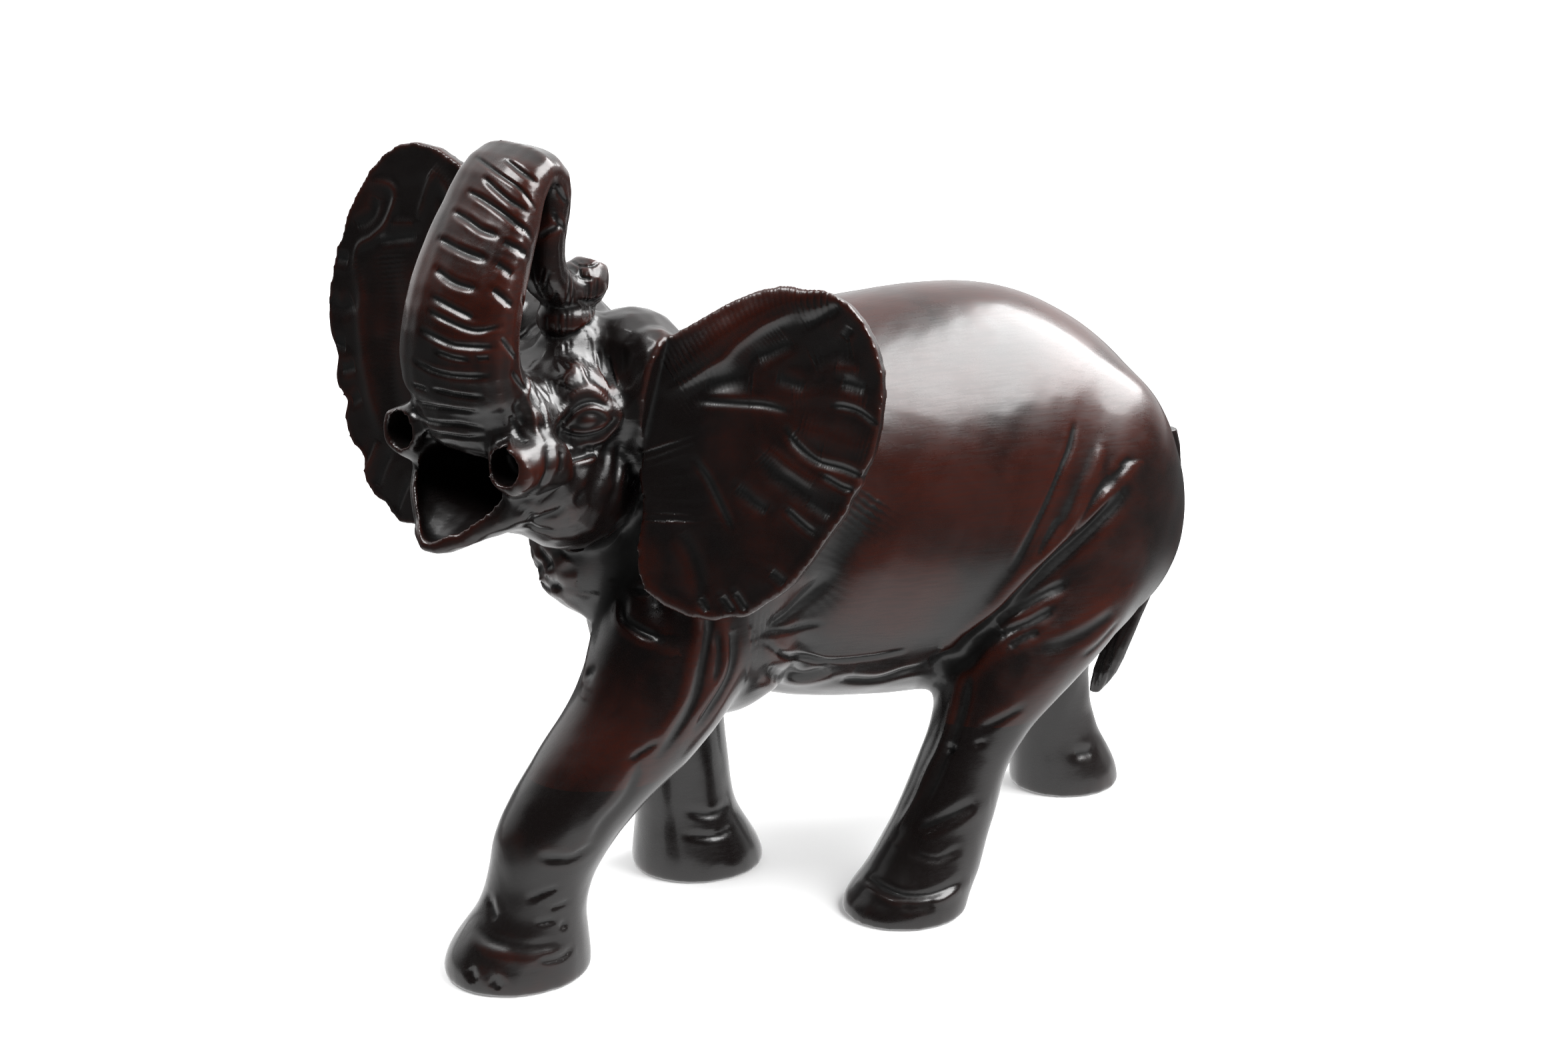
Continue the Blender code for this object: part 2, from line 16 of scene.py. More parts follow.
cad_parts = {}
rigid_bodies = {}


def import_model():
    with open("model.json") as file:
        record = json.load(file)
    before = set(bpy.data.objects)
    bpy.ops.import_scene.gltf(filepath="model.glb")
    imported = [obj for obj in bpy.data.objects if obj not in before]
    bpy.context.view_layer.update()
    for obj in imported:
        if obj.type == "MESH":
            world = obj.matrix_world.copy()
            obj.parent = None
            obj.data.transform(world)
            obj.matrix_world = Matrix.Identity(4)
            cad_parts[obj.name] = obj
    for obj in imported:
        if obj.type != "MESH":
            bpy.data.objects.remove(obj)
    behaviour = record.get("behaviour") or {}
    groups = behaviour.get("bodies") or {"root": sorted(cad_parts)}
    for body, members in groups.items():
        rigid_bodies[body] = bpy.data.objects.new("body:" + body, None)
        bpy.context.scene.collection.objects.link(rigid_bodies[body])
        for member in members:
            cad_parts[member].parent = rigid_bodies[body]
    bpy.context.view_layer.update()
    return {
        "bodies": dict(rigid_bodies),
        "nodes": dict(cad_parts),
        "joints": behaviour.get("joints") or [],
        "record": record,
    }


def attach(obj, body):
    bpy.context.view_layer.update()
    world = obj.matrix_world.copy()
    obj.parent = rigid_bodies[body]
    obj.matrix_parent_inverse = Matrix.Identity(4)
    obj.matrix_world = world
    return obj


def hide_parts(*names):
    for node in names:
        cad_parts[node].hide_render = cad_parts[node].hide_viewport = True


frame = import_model()

MM = 0.001
TINY = 1e-9                           # keeps divisions from zero
SHIFT = (-2.05, -2.65, 0.0)           # the figure's place in the frame
VOXEL = 0.62   # grain of the carved mesh
FINE_LEVELS = 1  # the head, trunk and ears are carved on a mesh twice as fine
SWELL = 0.2                           # closes the glue lines between the blocks
LAP = 2.0                             # how far the meshes of two blocks run past their joint
TAUBIN = (0.55, -0.57)                # steps of a round of smoothing that hardly shrinks
PLAIN = (0.5,)                        # the step of one that rounds edges off
BLUR = 2.5                            # how many radii a bump or a pull reaches
RAY_START, RAY_LENGTH = 30.0, 45.0    # of the rays that find the skin of an ear or the forehead

# rounds of smoothing of the three stocks, and plain rounds that take the facets off the barrel
HEAD_ROUNDS, BODY_ROUNDS, TAIL_ROUNDS = 44, 30, 5
FACET_ROUNDS = 130

# -------- frames of the figure

BODY = Matrix.Translation(SHIFT)
HEAD = (BODY @ Matrix.Translation((0.0, -50.0, 0.0))
        @ Matrix.Rotation(math.radians(27.0), 4, "Z")
        @ Matrix.Translation((0.0, 0.0, 130.0))
        @ Matrix.Rotation(math.radians(7.0), 4, "Y")
        @ Matrix.Translation((0.0, 0.0, -130.0)))


def ear_frame(side, sweep, lean):
    return (HEAD @ Matrix.Translation((25.0 * side, -14.0, 140.0))
            @ Matrix.Rotation(math.radians(sweep) * side, 4, "Z")
            @ Matrix.Rotation(math.radians(lean), 4, "X"))


LEFT_EAR = ear_frame(1, 15.0, -12.0)
RIGHT_EAR = ear_frame(-1, -5.0, -8.0)


def head_point(left, forward, height):
    return HEAD @ Vector((left, -forward, height))


def head_direction(left, forward, up):
    return HEAD.to_3x3() @ Vector((left, -forward, up))


# -------- arrays and meshes

def mesh_from(name, points, faces, values=None):
    """A mesh in metres from points in millimetres, with float values on its points."""
    mesh = bpy.data.meshes.new(name)
    mesh.from_pydata((points * MM).tolist(), [], faces.tolist())
    for key, value in (values or {}).items():
        layer = mesh.attributes.new(key, "FLOAT", "POINT")
        layer.data.foreach_set("value", value.astype(np.float32))
    return mesh


def in_scene(name, data):
    """A new object that holds data."""
    made = bpy.data.objects.new(name, data)
    bpy.context.scene.collection.objects.link(made)
    return made


def points_of(mesh):
    flat = np.empty(len(mesh.vertices) * 3)
    mesh.vertices.foreach_get("co", flat)
    return flat.reshape(-1, 3) / MM


def quads_of(mesh):
    flat = np.empty(len(mesh.loops), dtype=np.int64)
    mesh.loops.foreach_get("vertex_index", flat)
    return flat.reshape(-1, 4)


def edges_of(faces):
    """Each edge once, lower point first and in rising order."""
    first = faces.ravel()
    second = np.roll(faces, -1, axis=1).ravel()
    count = faces.max() + 1
    keys = np.unique(np.minimum(first, second) * count + np.maximum(first, second))
    return np.stack([keys // count, keys % count], axis=1)


def normals_of(points, faces):
    """Point normals of a quad mesh, weighted by area."""
    across = points[faces[:, 2]] - points[faces[:, 0]]
    along = points[faces[:, 3]] - points[faces[:, 1]]
    face_normal = np.cross(across, along)
    total = np.empty_like(points)
    for axis in range(3):
        weights = np.repeat(face_normal[:, axis], 4)
        total[:, axis] = np.bincount(faces.ravel(), weights, len(points))
    length = np.linalg.norm(total, axis=1, keepdims=True)
    return total / np.maximum(length, TINY)


def components(count, edges):
    """A label for each point, the same within each connected part."""
    label = np.arange(count)
    while True:
        lowest = np.minimum(label[edges[:, 0]], label[edges[:, 1]])
        update = label.copy()
        np.minimum.at(update, edges[:, 0], lowest)
        np.minimum.at(update, edges[:, 1], lowest)
        update = update[update]
        if np.array_equal(update, label):
            return label
        label = update


class Stock:
    """The carved wood as points and quads, with the tools that work it."""

    def __init__(self, points, faces):
        self.faces = faces
        self.edges = edges_of(faces)
        self.points = points
        self.degree = np.bincount(self.edges.ravel(), minlength=len(points))
        self.refresh()

    def refresh(self):
        self.normals = normals_of(self.points, self.faces)

    def neighbour_mean(self, values):
        """Mean of the neighbours' values, for one value or three on each point."""
        first = self.edges[:, 0]
        second = self.edges[:, 1]
        table = values.reshape(len(values), -1)
        mean = np.empty_like(table)
        for column in range(table.shape[1]):
            of = table[:, column]
            mean[:, column] = (np.bincount(first, of[second], len(of))
                               + np.bincount(second, of[first], len(of))) / self.degree
        return mean.reshape(values.shape)

    def smooth(self, rounds, amount=1.0, factors=TAUBIN):
        """Move points towards their neighbours' mean; amount may differ from point to point."""
        strength = np.reshape(amount, (-1, 1))
        for _ in range(rounds):
            for factor in factors:
                step = self.neighbour_mean(self.points) - self.points
                self.points = self.points + step * factor * strength
        self.refresh()

    def subdivide(self):
        """Every quad becomes four, and the new skin is smoothed once."""
        count = len(self.points)
        middles = self.points[self.edges].mean(axis=1)
        centres = self.points[self.faces].mean(axis=1)
        pairs = np.stack([self.faces, np.roll(self.faces, -1, axis=1)], axis=2).reshape(-1, 2)
        pairs.sort(axis=1)
        keys = self.edges[:, 0] * count + self.edges[:, 1]
        found = np.searchsorted(keys, pairs[:, 0] * count + pairs[:, 1])
        side = (count + found).reshape(-1, 4)
        centre = count + len(middles) + np.arange(len(self.faces))
        quads = [np.stack([self.faces[:, k], side[:, k], centre, side[:, k - 1]], axis=1)
                 for k in range(4)]
        fine = Stock(np.concatenate([self.points, middles, centres]), np.concatenate(quads))
        fine.smooth(3)
        return fine

    def prepare(self):
        """Start a new pass of carving on the skin as it is now."""
        self.refresh()
        self.relief = np.zeros(len(self.points))
        self.shift = np.zeros_like(self.points)
        self.tree = BVHTree.FromPolygons(self.points.tolist(), self.faces.tolist())

    def cut(self):
        """Move the skin by the relief and shift of this pass."""
        self.points = self.points + self.normals * self.relief[:, None] + self.shift
        self.refresh()

    def inside(self, low, high):
        """Numbers of the points inside a box."""
        return np.nonzero(((self.points > low) & (self.points < high)).all(axis=1))[0]

    def near(self, centre, radius):
        """Numbers of the points inside a cube round centre."""
        return self.inside(np.asarray(centre) - radius, np.asarray(centre) + radius)

    def snap(self, points):
        """The skin's points nearest to these, and its normals there."""
        spots, normals = [], []
        for point in points:
            spot, normal, _, _ = self.tree.find_nearest(Vector(point))
            spots.append(spot)
            normals.append(normal)
        return np.array(spots), np.array(normals)

    def stroke(self, kind, width, depth, route, reach=9.0):
        """Carve along a route that lies on the skin; its ends run out to nothing.

        groove and ridge have a round section, fold is a groove with a swelling along one side.
        """
        line = curve_through(route, 0.35 + 0.2 * width)
        spots, normals = self.snap(line)
        if np.linalg.norm(spots - line, axis=1).max() > reach:
            return
        margin = 3.2 * width
        low = spots.min(axis=0) - margin
        high = spots.max(axis=0) + margin
        local = self.inside(low, high)
        if len(local) == 0:
            return
        offset = self.points[local][:, None, :] - spots[None, :, :]
        distance = np.linalg.norm(offset, axis=2)
        nearest = distance.argmin(axis=1)
        rows = np.arange(len(local))
        away = distance[rows, nearest]
        facing = (self.normals[local] * normals[nearest]).sum(axis=1)
        along = nearest / max(len(line) - 1, 1)
        ends = np.clip(np.minimum(along, 1 - along) * 4.0, 0, 1)
        ends = np.maximum(ends, 0.35 * (len(line) < 4))
        strength = (0.25 + 0.75 * ends * (2 - ends)) * np.clip(facing * 2.0, 0, 1)
        section = np.exp(-(away / width) ** 2)
        if kind == "groove":
            lips = np.exp(-((away - 1.9 * width) / (0.8 * width)) ** 2)
            self.relief[local] += depth * strength * (0.08 * lips - section)
        elif kind == "ridge":
            self.relief[local] += depth * strength * section
        elif kind == "fold":
            step = np.gradient(spots, axis=0) if len(spots) > 1 else np.ones_like(spots)
            across = np.cross(step, normals)
            across /= np.maximum(np.linalg.norm(across, axis=1, keepdims=True), TINY)
            signed = (offset[rows, nearest] * across[nearest]).sum(axis=1)
            swelling = np.exp(-((signed - 1.7 * width) / (1.2 * width)) ** 2)
            self.relief[local] += depth * strength * (0.55 * swelling - section)

    def bump(self, place, centre, radii, height):
        """Raise or sink a soft oval round a point of the skin, given in the frame place."""
        spots, normals = self.snap(placed([centre], place))
        local = self.near(spots[0], BLUR * max(radii))
        offset = (self.points[local] - spots[0]) @ np.array(place.to_3x3())
        squared = ((offset / np.asarray(radii)) ** 2).sum(axis=1)
        facing = np.clip((self.normals[local] @ normals[0]) * 2.0, 0, 1)
        self.relief[local] += height * np.exp(-squared) * facing

    def pull(self, centre, radius, move):
        """Push the wood round a point by a vector, without regard to its skin."""
        local = self.near(centre, BLUR * radius)
        squared = ((self.points[local] - np.asarray(centre)) ** 2).sum(axis=1) / radius ** 2
        self.shift[local] += np.exp(-squared)[:, None] * np.asarray(move)


def curve_through(points, spacing):
    """Points along a smooth curve through the given ones."""
    points = np.asarray(points, float)
    if len(points) == 1:
        return points
    padded = np.concatenate([[2 * points[0] - points[1]], points, [2 * points[-1] - points[-2]]])
    line = []
    for before, first, second, after in zip(padded, padded[1:], padded[2:], padded[3:]):
        steps = max(int(np.linalg.norm(second - first) / spacing), 1)
        for t in np.arange(steps) / steps:
            line.append(0.5 * (2 * first + (second - before) * t
                               + (2 * before - 5 * first + 4 * second - after) * t * t
                               + (3 * first - before - 3 * second + after) * t ** 3))
    line.append(points[-1])
    return np.array(line)


def placed(route, frame):
    """A route given in a frame of the figure, in the shared frame."""
    return [frame @ Vector(point) for point in route]


def undulation(points, size, seed):
    """Smooth random numbers round zero that change over about size millimetres."""
    waves = 14
    draw = np.random.default_rng(seed)
    total = np.zeros(len(points))
    for _ in range(waves):
        wave = draw.normal(size=3) * 2.2 / size
        total += np.sin(points @ wave + draw.uniform(0, 2 * math.pi))
    return total / math.sqrt(waves)


def saw(shape, planes):
    """Take off what lies in front of each plane and close the cut."""
    for point, normal in planes:
        everything = shape.verts[:] + shape.edges[:] + shape.faces[:]
        cut = bmesh.ops.bisect_plane(shape, geom=everything, plane_co=point * MM,
                                     plane_no=normal, clear_outer=True)
        rim = [item for item in cut["geom_cut"] if isinstance(item, bmesh.types.BMEdge)]
        bmesh.ops.holes_fill(shape, edges=rim, sides=0)


def fused_stock(names, voxel, sawn=None):
    """The named CAD blocks, swollen over their glue lines and fused into one skin.

    sawn holds the planes at which a block is cut off before it is fused.
    """
    shape = bmesh.new()
    for name in names:
        part = bmesh.new()
        part.from_mesh(frame["nodes"][name].data)
        bmesh.ops.remove_doubles(part, verts=part.verts, dist=1e-6)
        saw(part, (sawn or {}).get(name, ()))
        part.normal_update()
        for vert in part.verts:
            vert.co += vert.normal * SWELL * MM
        mesh = bpy.data.meshes.new("part")
        part.to_mesh(mesh)
        part.free()
        shape.from_mesh(mesh)
        bpy.data.meshes.remove(mesh)
    mesh = bpy.data.meshes.new("stock")
    shape.to_mesh(mesh)
    shape.free()
    holder = in_scene("stock", mesh)
    fuse = holder.modifiers.new("fuse", "REMESH")
    fuse.mode = "VOXEL"
    fuse.voxel_size = voxel * MM
    graph = bpy.context.evaluated_depsgraph_get()
    fused = bpy.data.meshes.new_from_object(holder.evaluated_get(graph))
    points = points_of(fused)
    faces = quads_of(fused)
    bpy.data.objects.remove(holder, do_unlink=True)
    label = components(len(points), edges_of(faces))
    outer = np.bincount(label).argmax()
    return Stock(*kept_part(points, faces, label == outer)[:2])


def kept_part(points, faces, keep):
    """The points marked in keep, the faces between them, and the old numbers of the points."""
    faces = faces[keep[faces].all(axis=1)]
    used = np.zeros(len(points), bool)
    used[faces.ravel()] = True
    number = np.cumsum(used) - 1
    return points[used], number[faces], np.nonzero(used)[0]


# -------- carving of the body and legs

# Each stroke is its kind, left out where it is a groove, its half width, its depth and the points
# of its route.  Points are x, y, z on the skin, in the body's own frame; those of the face and
# trunk are left, forward, height, and those of an ear are outward, up.
BODY_STROKES = (
    # grooves down the flank in front of the left thigh
    (0.9, 0.75, (36, 57.5, 124), (37, 55.5, 119), (38.5, 52.5, 114), (39, 47, 103.5),
     (38, 39.5, 90)),
    (0.8, 0.6, (39, 51.5, 101), (38.5, 49, 97), (38, 46, 92)),
    ("ridge", 1.8, 0.7, (36.5, 65.5, 118.5), (38, 62.5, 112.5), (38.5, 58.5, 106.5),
     (38.5, 54.5, 97)),
    (1.3, 1, (38.5, 67.5, 111), (39, 63, 106), (38.5, 55.5, 97)),
    ("fold", 2.3, 2.3, (39, 71, 106), (39.5, 62, 98.5), (38.5, 55, 93), (37.5, 48.5, 88),
     (36.5, 42, 81.5), (34, 34.5, 73), (32, 31, 69.5)),
    (1.3, 0.7, (37.5, 74, 114.5), (38.5, 69.5, 111), (39, 66, 106.5)),
    ("ridge", 1.6, 0.7, (39, 53, 96), (38, 44, 86), (35, 34, 77)),
    # creases of the thigh that run into the groin
    (1.3, 1.1, (38.5, 54.5, 84), (38, 48, 81.5), (37, 42.5, 78.5), (35.5, 38.5, 76.5)),
    (1.2, 1.1, (39.5, 50.5, 78), (39, 45.5, 75.5), (37.5, 40.5, 73.5), (36, 37.5, 71.5)),
    (1.1, 0.8, (40, 46.5, 73), (38.5, 42, 71), (38, 39, 69)),
    (2.8, 2.4, (27, 22, 64), (30.5, 29, 65.5), (33.5, 33, 70.5), (35.5, 38, 74)),
    ("fold", 2, 0.6, (39.5, 69.5, 75), (41, 62, 72), (41.5, 54, 69.5), (41, 46.5, 68)),
    (0.9, 0.4, (39, 72, 71), (40.5, 65, 67), (41, 59, 65)),
    (1, 0.5, (41.5, 41.5, 54), (40.5, 35.5, 51), (39, 30.5, 48.5)),
    # folds along the belly's side
    (0.8, 0.6, (36.5, -27.5, 78.5), (31, -19, 72.5), (27.5, -8, 69), (29, 3.5, 68.5),
     (30.5, 12.5, 69.5)),
    ("fold", 2, 1.2, (34, -26.5, 71.5), (27, -18, 66), (23, -12, 64), (25.5, -5, 66)),
    (1.8, 1, (23, -1, 62), (23, 8.5, 60), (25.5, 15.5, 62), (26.5, 20.5, 63)),
    (0.8, 0.5, (37, -28, 81), (33.5, -18, 80), (32, -10.5, 80)),
    (1, 0.5, (34, -24, 75), (30, -15, 71), (27, -6, 66.5)),
    # hollow behind the left shoulder
    (6, 2, (36, 2, 112), (36, -7.5, 98.5), (34, -12.5, 88.5), (36.5, -22, 83.5),
     (38, -33, 82)),
    (1.8, 0.9, (36, -10, 92), (36.5, -18, 85), (37.5, -27, 82)),
    # folds at the back of the left upper arm
    ("fold", 1.4, 0.9, (39, -43, 92), (39.5, -44, 84), (41, -46.5, 76), (41.5, -49, 68.5),
     (41.5, -53.5, 61.5), (41.5, -57.5, 56.5)),
    (1.1, 0.8, (39.5, -41.5, 84.5), (40.5, -41.5, 78.5), (41, -43, 71.5)),
    ("fold", 1.5, 1, (39, -37.5, 84), (40, -38, 75.5), (40, -41, 70), (41, -47.5, 62)),
    (0.8, 0.5, (41.5, -57.5, 60), (41, -61.5, 58), (40.5, -64.5, 56)),
    ("fold", 1.5, 0.7, (41, -62, 54.5), (40, -65.5, 47), (39, -71, 41), (38, -73.5, 36)),
    # knee and ankle of the front left leg
    (1.1, 0.9, (38, -74, 35), (37.5, -78, 33), (37.5, -81.5, 33), (36.5, -85, 33.5)),
    (0.8, 0.7, (36, -81.5, 25.5), (35.5, -85, 24.5), (34.5, -88, 23)),
    (0.7, 0.5, (35, -79, 21), (36, -83.5, 20.5)),
    (0.7, 0.6, (36, -82.5, 17.5), (35.5, -86.5, 17)),
    (0.9, 1.1, (35.5, -80.5, 15.5)),
    (0.8, 0.6, (36.5, -78, 9.5), (36.5, -82, 8), (38, -87, 8.5)),
    (1.3, 0.7, (25.5, -95, 20.5), (29.5, -95, 17)),
    (1.4, 0.7, (30, -102, 6.5), (32, -101.5, 3.5)),
    (1.4, 0.8, (35, -98, 5), (36.5, -96.5, 2.5)),
    ("fold", 1.6, 0.5, (24, -100, 15), (31, -97, 13), (36.5, -90, 12), (38, -82, 12)),
    # shoulder front and chest
    ("fold", 1.2, 1, (25, -60, 91), (28, -60.5, 87), (32.5, -58.5, 85), (36.5, -55, 83.5)),
    (1, 0.7, (26.5, -57.5, 93), (30, -55, 93.5)),
    # the shin ridge and the creases of the hind left leg
    ("ridge", 1.3, 0.8, (31.5, 29.5, 61.5), (32, 26, 51.5), (32.5, 23, 43), (32, 19.5, 36.5),
     (32, 16.5, 29.5), (31, 12.5, 23)),
    (1, 0.7, (33.5, 31, 60), (34.5, 28, 51.5), (34.7, 24.5, 43), (35, 21, 36), (34.5, 18, 29)),
    (1.3, 0.9, (34, 23.5, 43.5), (36.5, 25, 42.5)),
    (0.8, 0.5, (39, 29, 44.5), (40, 31.5, 45.5)),
    ("fold", 1.6, 0.8, (36, 14, 24), (38, 17.5, 25), (40, 23, 27.5), (41, 28.5, 30)),
    ("fold", 1.2, 1, (31, 3.5, 10), (37.5, 5.5, 9), (42, 9, 8.5), (44.5, 15.5, 9),
     (43.5, 23, 10.5)),
    (1.2, 0.6, (42.5, 6.5, 6), (45, 12, 6.5), (45, 15.5, 6.5)),
    (1, 0.4, (38, 12, 18), (42, 17, 17), (42.5, 23.5, 19)),
    # hind right foot and front right leg, on the side seen between the left legs
    (1.6, 0.8, (-17, 95, 13), (-17, 101, 12.5)),
    (1.2, 0.6, (-9, -30, 20), (-8, -24, 18), (-9, -18, 19)),
    (1, 0.5, (-9, -30, 13), (-7, -24, 12), (-8, -18, 12.5)),
)

# creases of the unseen right side, in the same manner
RIGHT_STROKES = (
    ("fold", 2.3, 2, (-36, 100, 112), (-38, 88, 100), (-38, 78, 90), (-34, 68, 80),
     (-28, 60, 70)),
    (1.2, 0.9, (-37, 88, 112), (-38, 80, 103), (-38, 72, 94)),
    (0.9, 0.7, (-38, 76, 112), (-38, 70, 102), (-37, 63, 91)),
    (1.1, 0.9, (-38, 90, 84), (-36, 80, 79), (-32, 72, 73)),
    (1.1, 0.8, (-37, 92, 76), (-35, 84, 72), (-31, 77, 68)),
    (6, 1.8, (-36, 20, 108), (-36, 14, 96), (-34, 10, 86), (-30, 4, 78)),
    ("fold", 1.5, 0.9, (-34, -8, 84), (-35, -10, 74), (-34, -14, 64), (-33, -17, 56)),
    (0.9, 0.6, (-32, 10, 74), (-27, 22, 66), (-25, 36, 62)),
    (1.8, 1, (-26, 16, 66), (-22, 28, 60), (-21, 42, 60)),
    (1.1, 0.8, (-34, -20, 34), (-35, -27, 33), (-33, -33, 34)),
    (0.8, 0.6, (-33, -20, 23), (-34, -27, 22), (-32, -33, 23)),
    (0.8, 0.6, (-34, -20, 12), (-36, -27, 11), (-34, -34, 12)),
    (1.1, 0.7, (-38, 92, 32), (-39, 98, 30), (-37, 105, 31)),
    (0.9, 0.7, (-40, 92, 12), (-42, 98, 11), (-40, 105, 12)),
)

TRUNK_STROKES = (
    (0.9, 0.6, (0, 44, 195), (5, 44.5, 193.5), (9, 43.5, 191.5)),
    (0.7, 0.6, (-8.5, 44.5, 194), (1, 47, 192.5), (7.5, 46.5, 190), (10, 45, 186.5)),
    (1, 0.8, (-2.5, 48, 191), (2.5, 48.5, 189), (6.5, 48.5, 187.5), (10, 47, 186)),
    (1, 0.9, (-5, 49.5, 187.5), (0.5, 50, 186.5), (7, 50, 184.5), (11.5, 47, 180.5)),
    (1.2, 1, (-7, 52, 183), (-2, 52.5, 182), (2.5, 53, 181), (7, 52.5, 180.5)),
    (1.2, 0.8, (8.5, 52.5, 179.5), (13, 49, 177)),
    (1.2, 1, (-8, 55, 177), (-2.5, 56, 176.5), (1.5, 56, 176), (6.5, 55.5, 175.5)),
    (1.3, 0.8, (9, 54.5, 175), (12.5, 53, 173)),
    (1.3, 1, (-5.5, 58, 171), (-1, 59, 170), (2.5, 59, 169.5), (7, 58.5, 169.5)),
    (1.1, 0.9, (10.5, 57, 170), (14, 54, 166.5)),
    (1.1, 0.8, (-4, 60.5, 165.5), (2.5, 60.5, 164.5), (8.5, 60, 163.5)),
    (1, 0.8, (-4, 61.5, 162.5), (3, 61.5, 161.5), (9.5, 60.5, 161), (14, 57, 162.5)),
    (1.1, 1, (-5, 62, 158), (3, 62, 157), (8, 61.5, 157.3), (13.5, 58.5, 158)),
    (0.8, 0.7, (0, 62.5, 154.5), (5, 62.5, 154.3), (9, 61, 154.5)),
    (0.8, 0.5, (10.5, 60.5, 155), (13, 59, 155.5)),
    (1, 1, (-6.5, 62.5, 150.7), (-0.5, 62.5, 150), (5.5, 62.5, 150.3), (13, 59.5, 151.5)),
    (0.8, 0.8, (-8, 61.5, 144.7), (-3, 61.5, 145)),
    (0.8, 0.8, (-1, 62, 145.5), (7, 61.5, 146), (11.5, 59.5, 146.5)),
    (0.9, 0.8, (-9, 58.5, 140), (-2, 60.3, 141), (4, 60.5, 142), (10, 59, 143)),
    (0.9, 0.8, (-14, 54, 135.5), (-3, 59, 137), (5, 59, 138.5), (10, 57.5, 138.5)),
    (0.9, 0.8, (-14.5, 52, 131), (-1.5, 58.5, 134.5), (6.5, 58, 135.5), (10, 56.5, 136.5)),
    # slanting cuts on the trunk's left side, and the crack across its tip
    (0.9, 0.6, (14.5, 57, 160), (14, 53, 155)),
    (0.9, 0.6, (15, 54, 152), (15, 49, 147)),
    (0.9, 0.7, (15, 50, 168), (15, 45, 163)),
    (0.9, 0.6, (8, 36, 190), (7, 31.5, 186)),
    (0.9, 0.6, (7.5, 36, 184), (6, 31.5, 180)),
    (1, 0.6, (4, 37, 178), (7, 33, 181)),
    (0.55, 0.6, (1, 22, 170.5), (4, 22.5, 170), (6, 20.5, 170), (5, 17.5, 170)),
    (0.5, 0.5, (4, 22.5, 170), (6, 24, 168), (7.5, 22, 167.5)),
    (0.9, 0.7, (7.5, 26, 163), (8.5, 21, 162), (7.5, 15, 164)),
)

FACE_STROKES = (
    # brow, and the ring of skin round the eye
    ("ridge", 1.7, 1.2, (18, 44, 138), (15.5, 38.5, 140), (15.5, 35, 143.5), (17, 31, 145),
     (20, 27, 143.5)),
    (0.7, 0.8, (17.5, 41, 136.5), (16.5, 37.5, 138.5), (17, 34.5, 141.3), (18.5, 31.5, 142.5),
     (20.5, 28.5, 141.5)),
    ("ridge", 0.75, 0.75, (18, 39, 136.5), (17, 36, 139), (17.5, 34, 140.6), (19, 31.7, 141.2),
     (20.5, 29.5, 140.4), (21, 28, 138.5)),
    ("ridge", 0.7, 0.7, (18, 38.5, 136), (18, 35.5, 136), (18.5, 33, 136.2), (20, 30, 137),
     (21, 28, 138.3)),
    (0.7, 1, (18, 40, 135.2), (17.5, 35.5, 134.6), (18.5, 32.5, 134.6), (20.5, 29, 135.8),
     (21.5, 27, 138)),
    ("ridge", 1, 0.8, (19, 42, 133.5), (18.5, 36, 132.6), (19, 32, 132.6), (20.5, 28, 134),
     (22, 25.5, 138), (21, 25.5, 142)),
    (0.8, 0.9, (20, 42, 132), (19, 36, 130.8), (19.5, 32, 130.6), (21, 28, 132)),
    ("ridge", 1, 0.7, (19.5, 38, 129.3), (19.5, 33, 128.8), (20, 30, 129.3)),
    (1.1, 1.1, (18, 41.5, 136), (17.6, 39, 136.4)),
    (0.9, 1.2, (18, 31.5, 131)),
    # long soft folds down the cheek
    ("fold", 1.5, 0.9, (20, 25, 135), (20.5, 27.5, 128), (21.5, 31.5, 124), (22, 34.5, 119.5)),
    (1.4, 0.8, (20, 21.5, 131), (22, 25, 123.5), (22.5, 27.5, 118)),
    ("fold", 1.4, 0.8, (20, 29, 129.5), (21.5, 33, 125), (21, 38, 120)),
    (1.6, 0.8, (20.5, 18, 130), (21.5, 20, 123), (22, 23, 116)),
    # hollow of the temple, and the crease that leaves it
    (3.2, 1.6, (15, 25, 147.5), (16, 20.5, 147)),
    ("fold", 1.4, 0.9, (13, 28, 149), (15, 28.5, 147), (18, 27, 144), (20.5, 24.5, 142)),
    ("ridge", 2.2, 1, (11, 28, 149), (12, 32, 147), (13, 35.5, 145)),
    # corner of the mouth, jaw and rim of the tusk socket
    (1.2, 0.8, (16, 50.5, 121), (16.5, 46, 118.5), (19, 42.5, 119), (20, 40, 120.5)),
    (0.7, 0.4, (15.5, 48, 117), (16, 44, 115), (17, 40, 114.3)),
    (1.3, 0.8, (22, 47.5, 137), (23.5, 49, 132.5), (22.5, 50, 127), (18.5, 51, 123.5)),
    (0.8, 0.5, (22, 44.5, 134), (22.5, 45.5, 130)),
    # lines fanning from the trunk's root over the cheek
    ("ridge", 0.9, 0.7, (9, 46, 147.5), (14, 49, 146), (16.5, 48, 142), (18, 48.5, 138),
     (19.5, 48, 135.5)),
    (0.8, 0.8, (8, 44, 148.5), (14, 46.5, 146), (16, 45.5, 142), (17.5, 45.5, 138.5)),
    (0.8, 0.7, (14, 52, 145), (15, 52, 143), (16, 50.5, 139.5)),
    (0.8, 0.7, (15.5, 53.5, 142), (17, 53, 139), (19, 52, 137)),
    (0.7, 0.6, (8, 41.5, 148.5), (12.5, 41.5, 146.5), (15, 41, 143)),
)

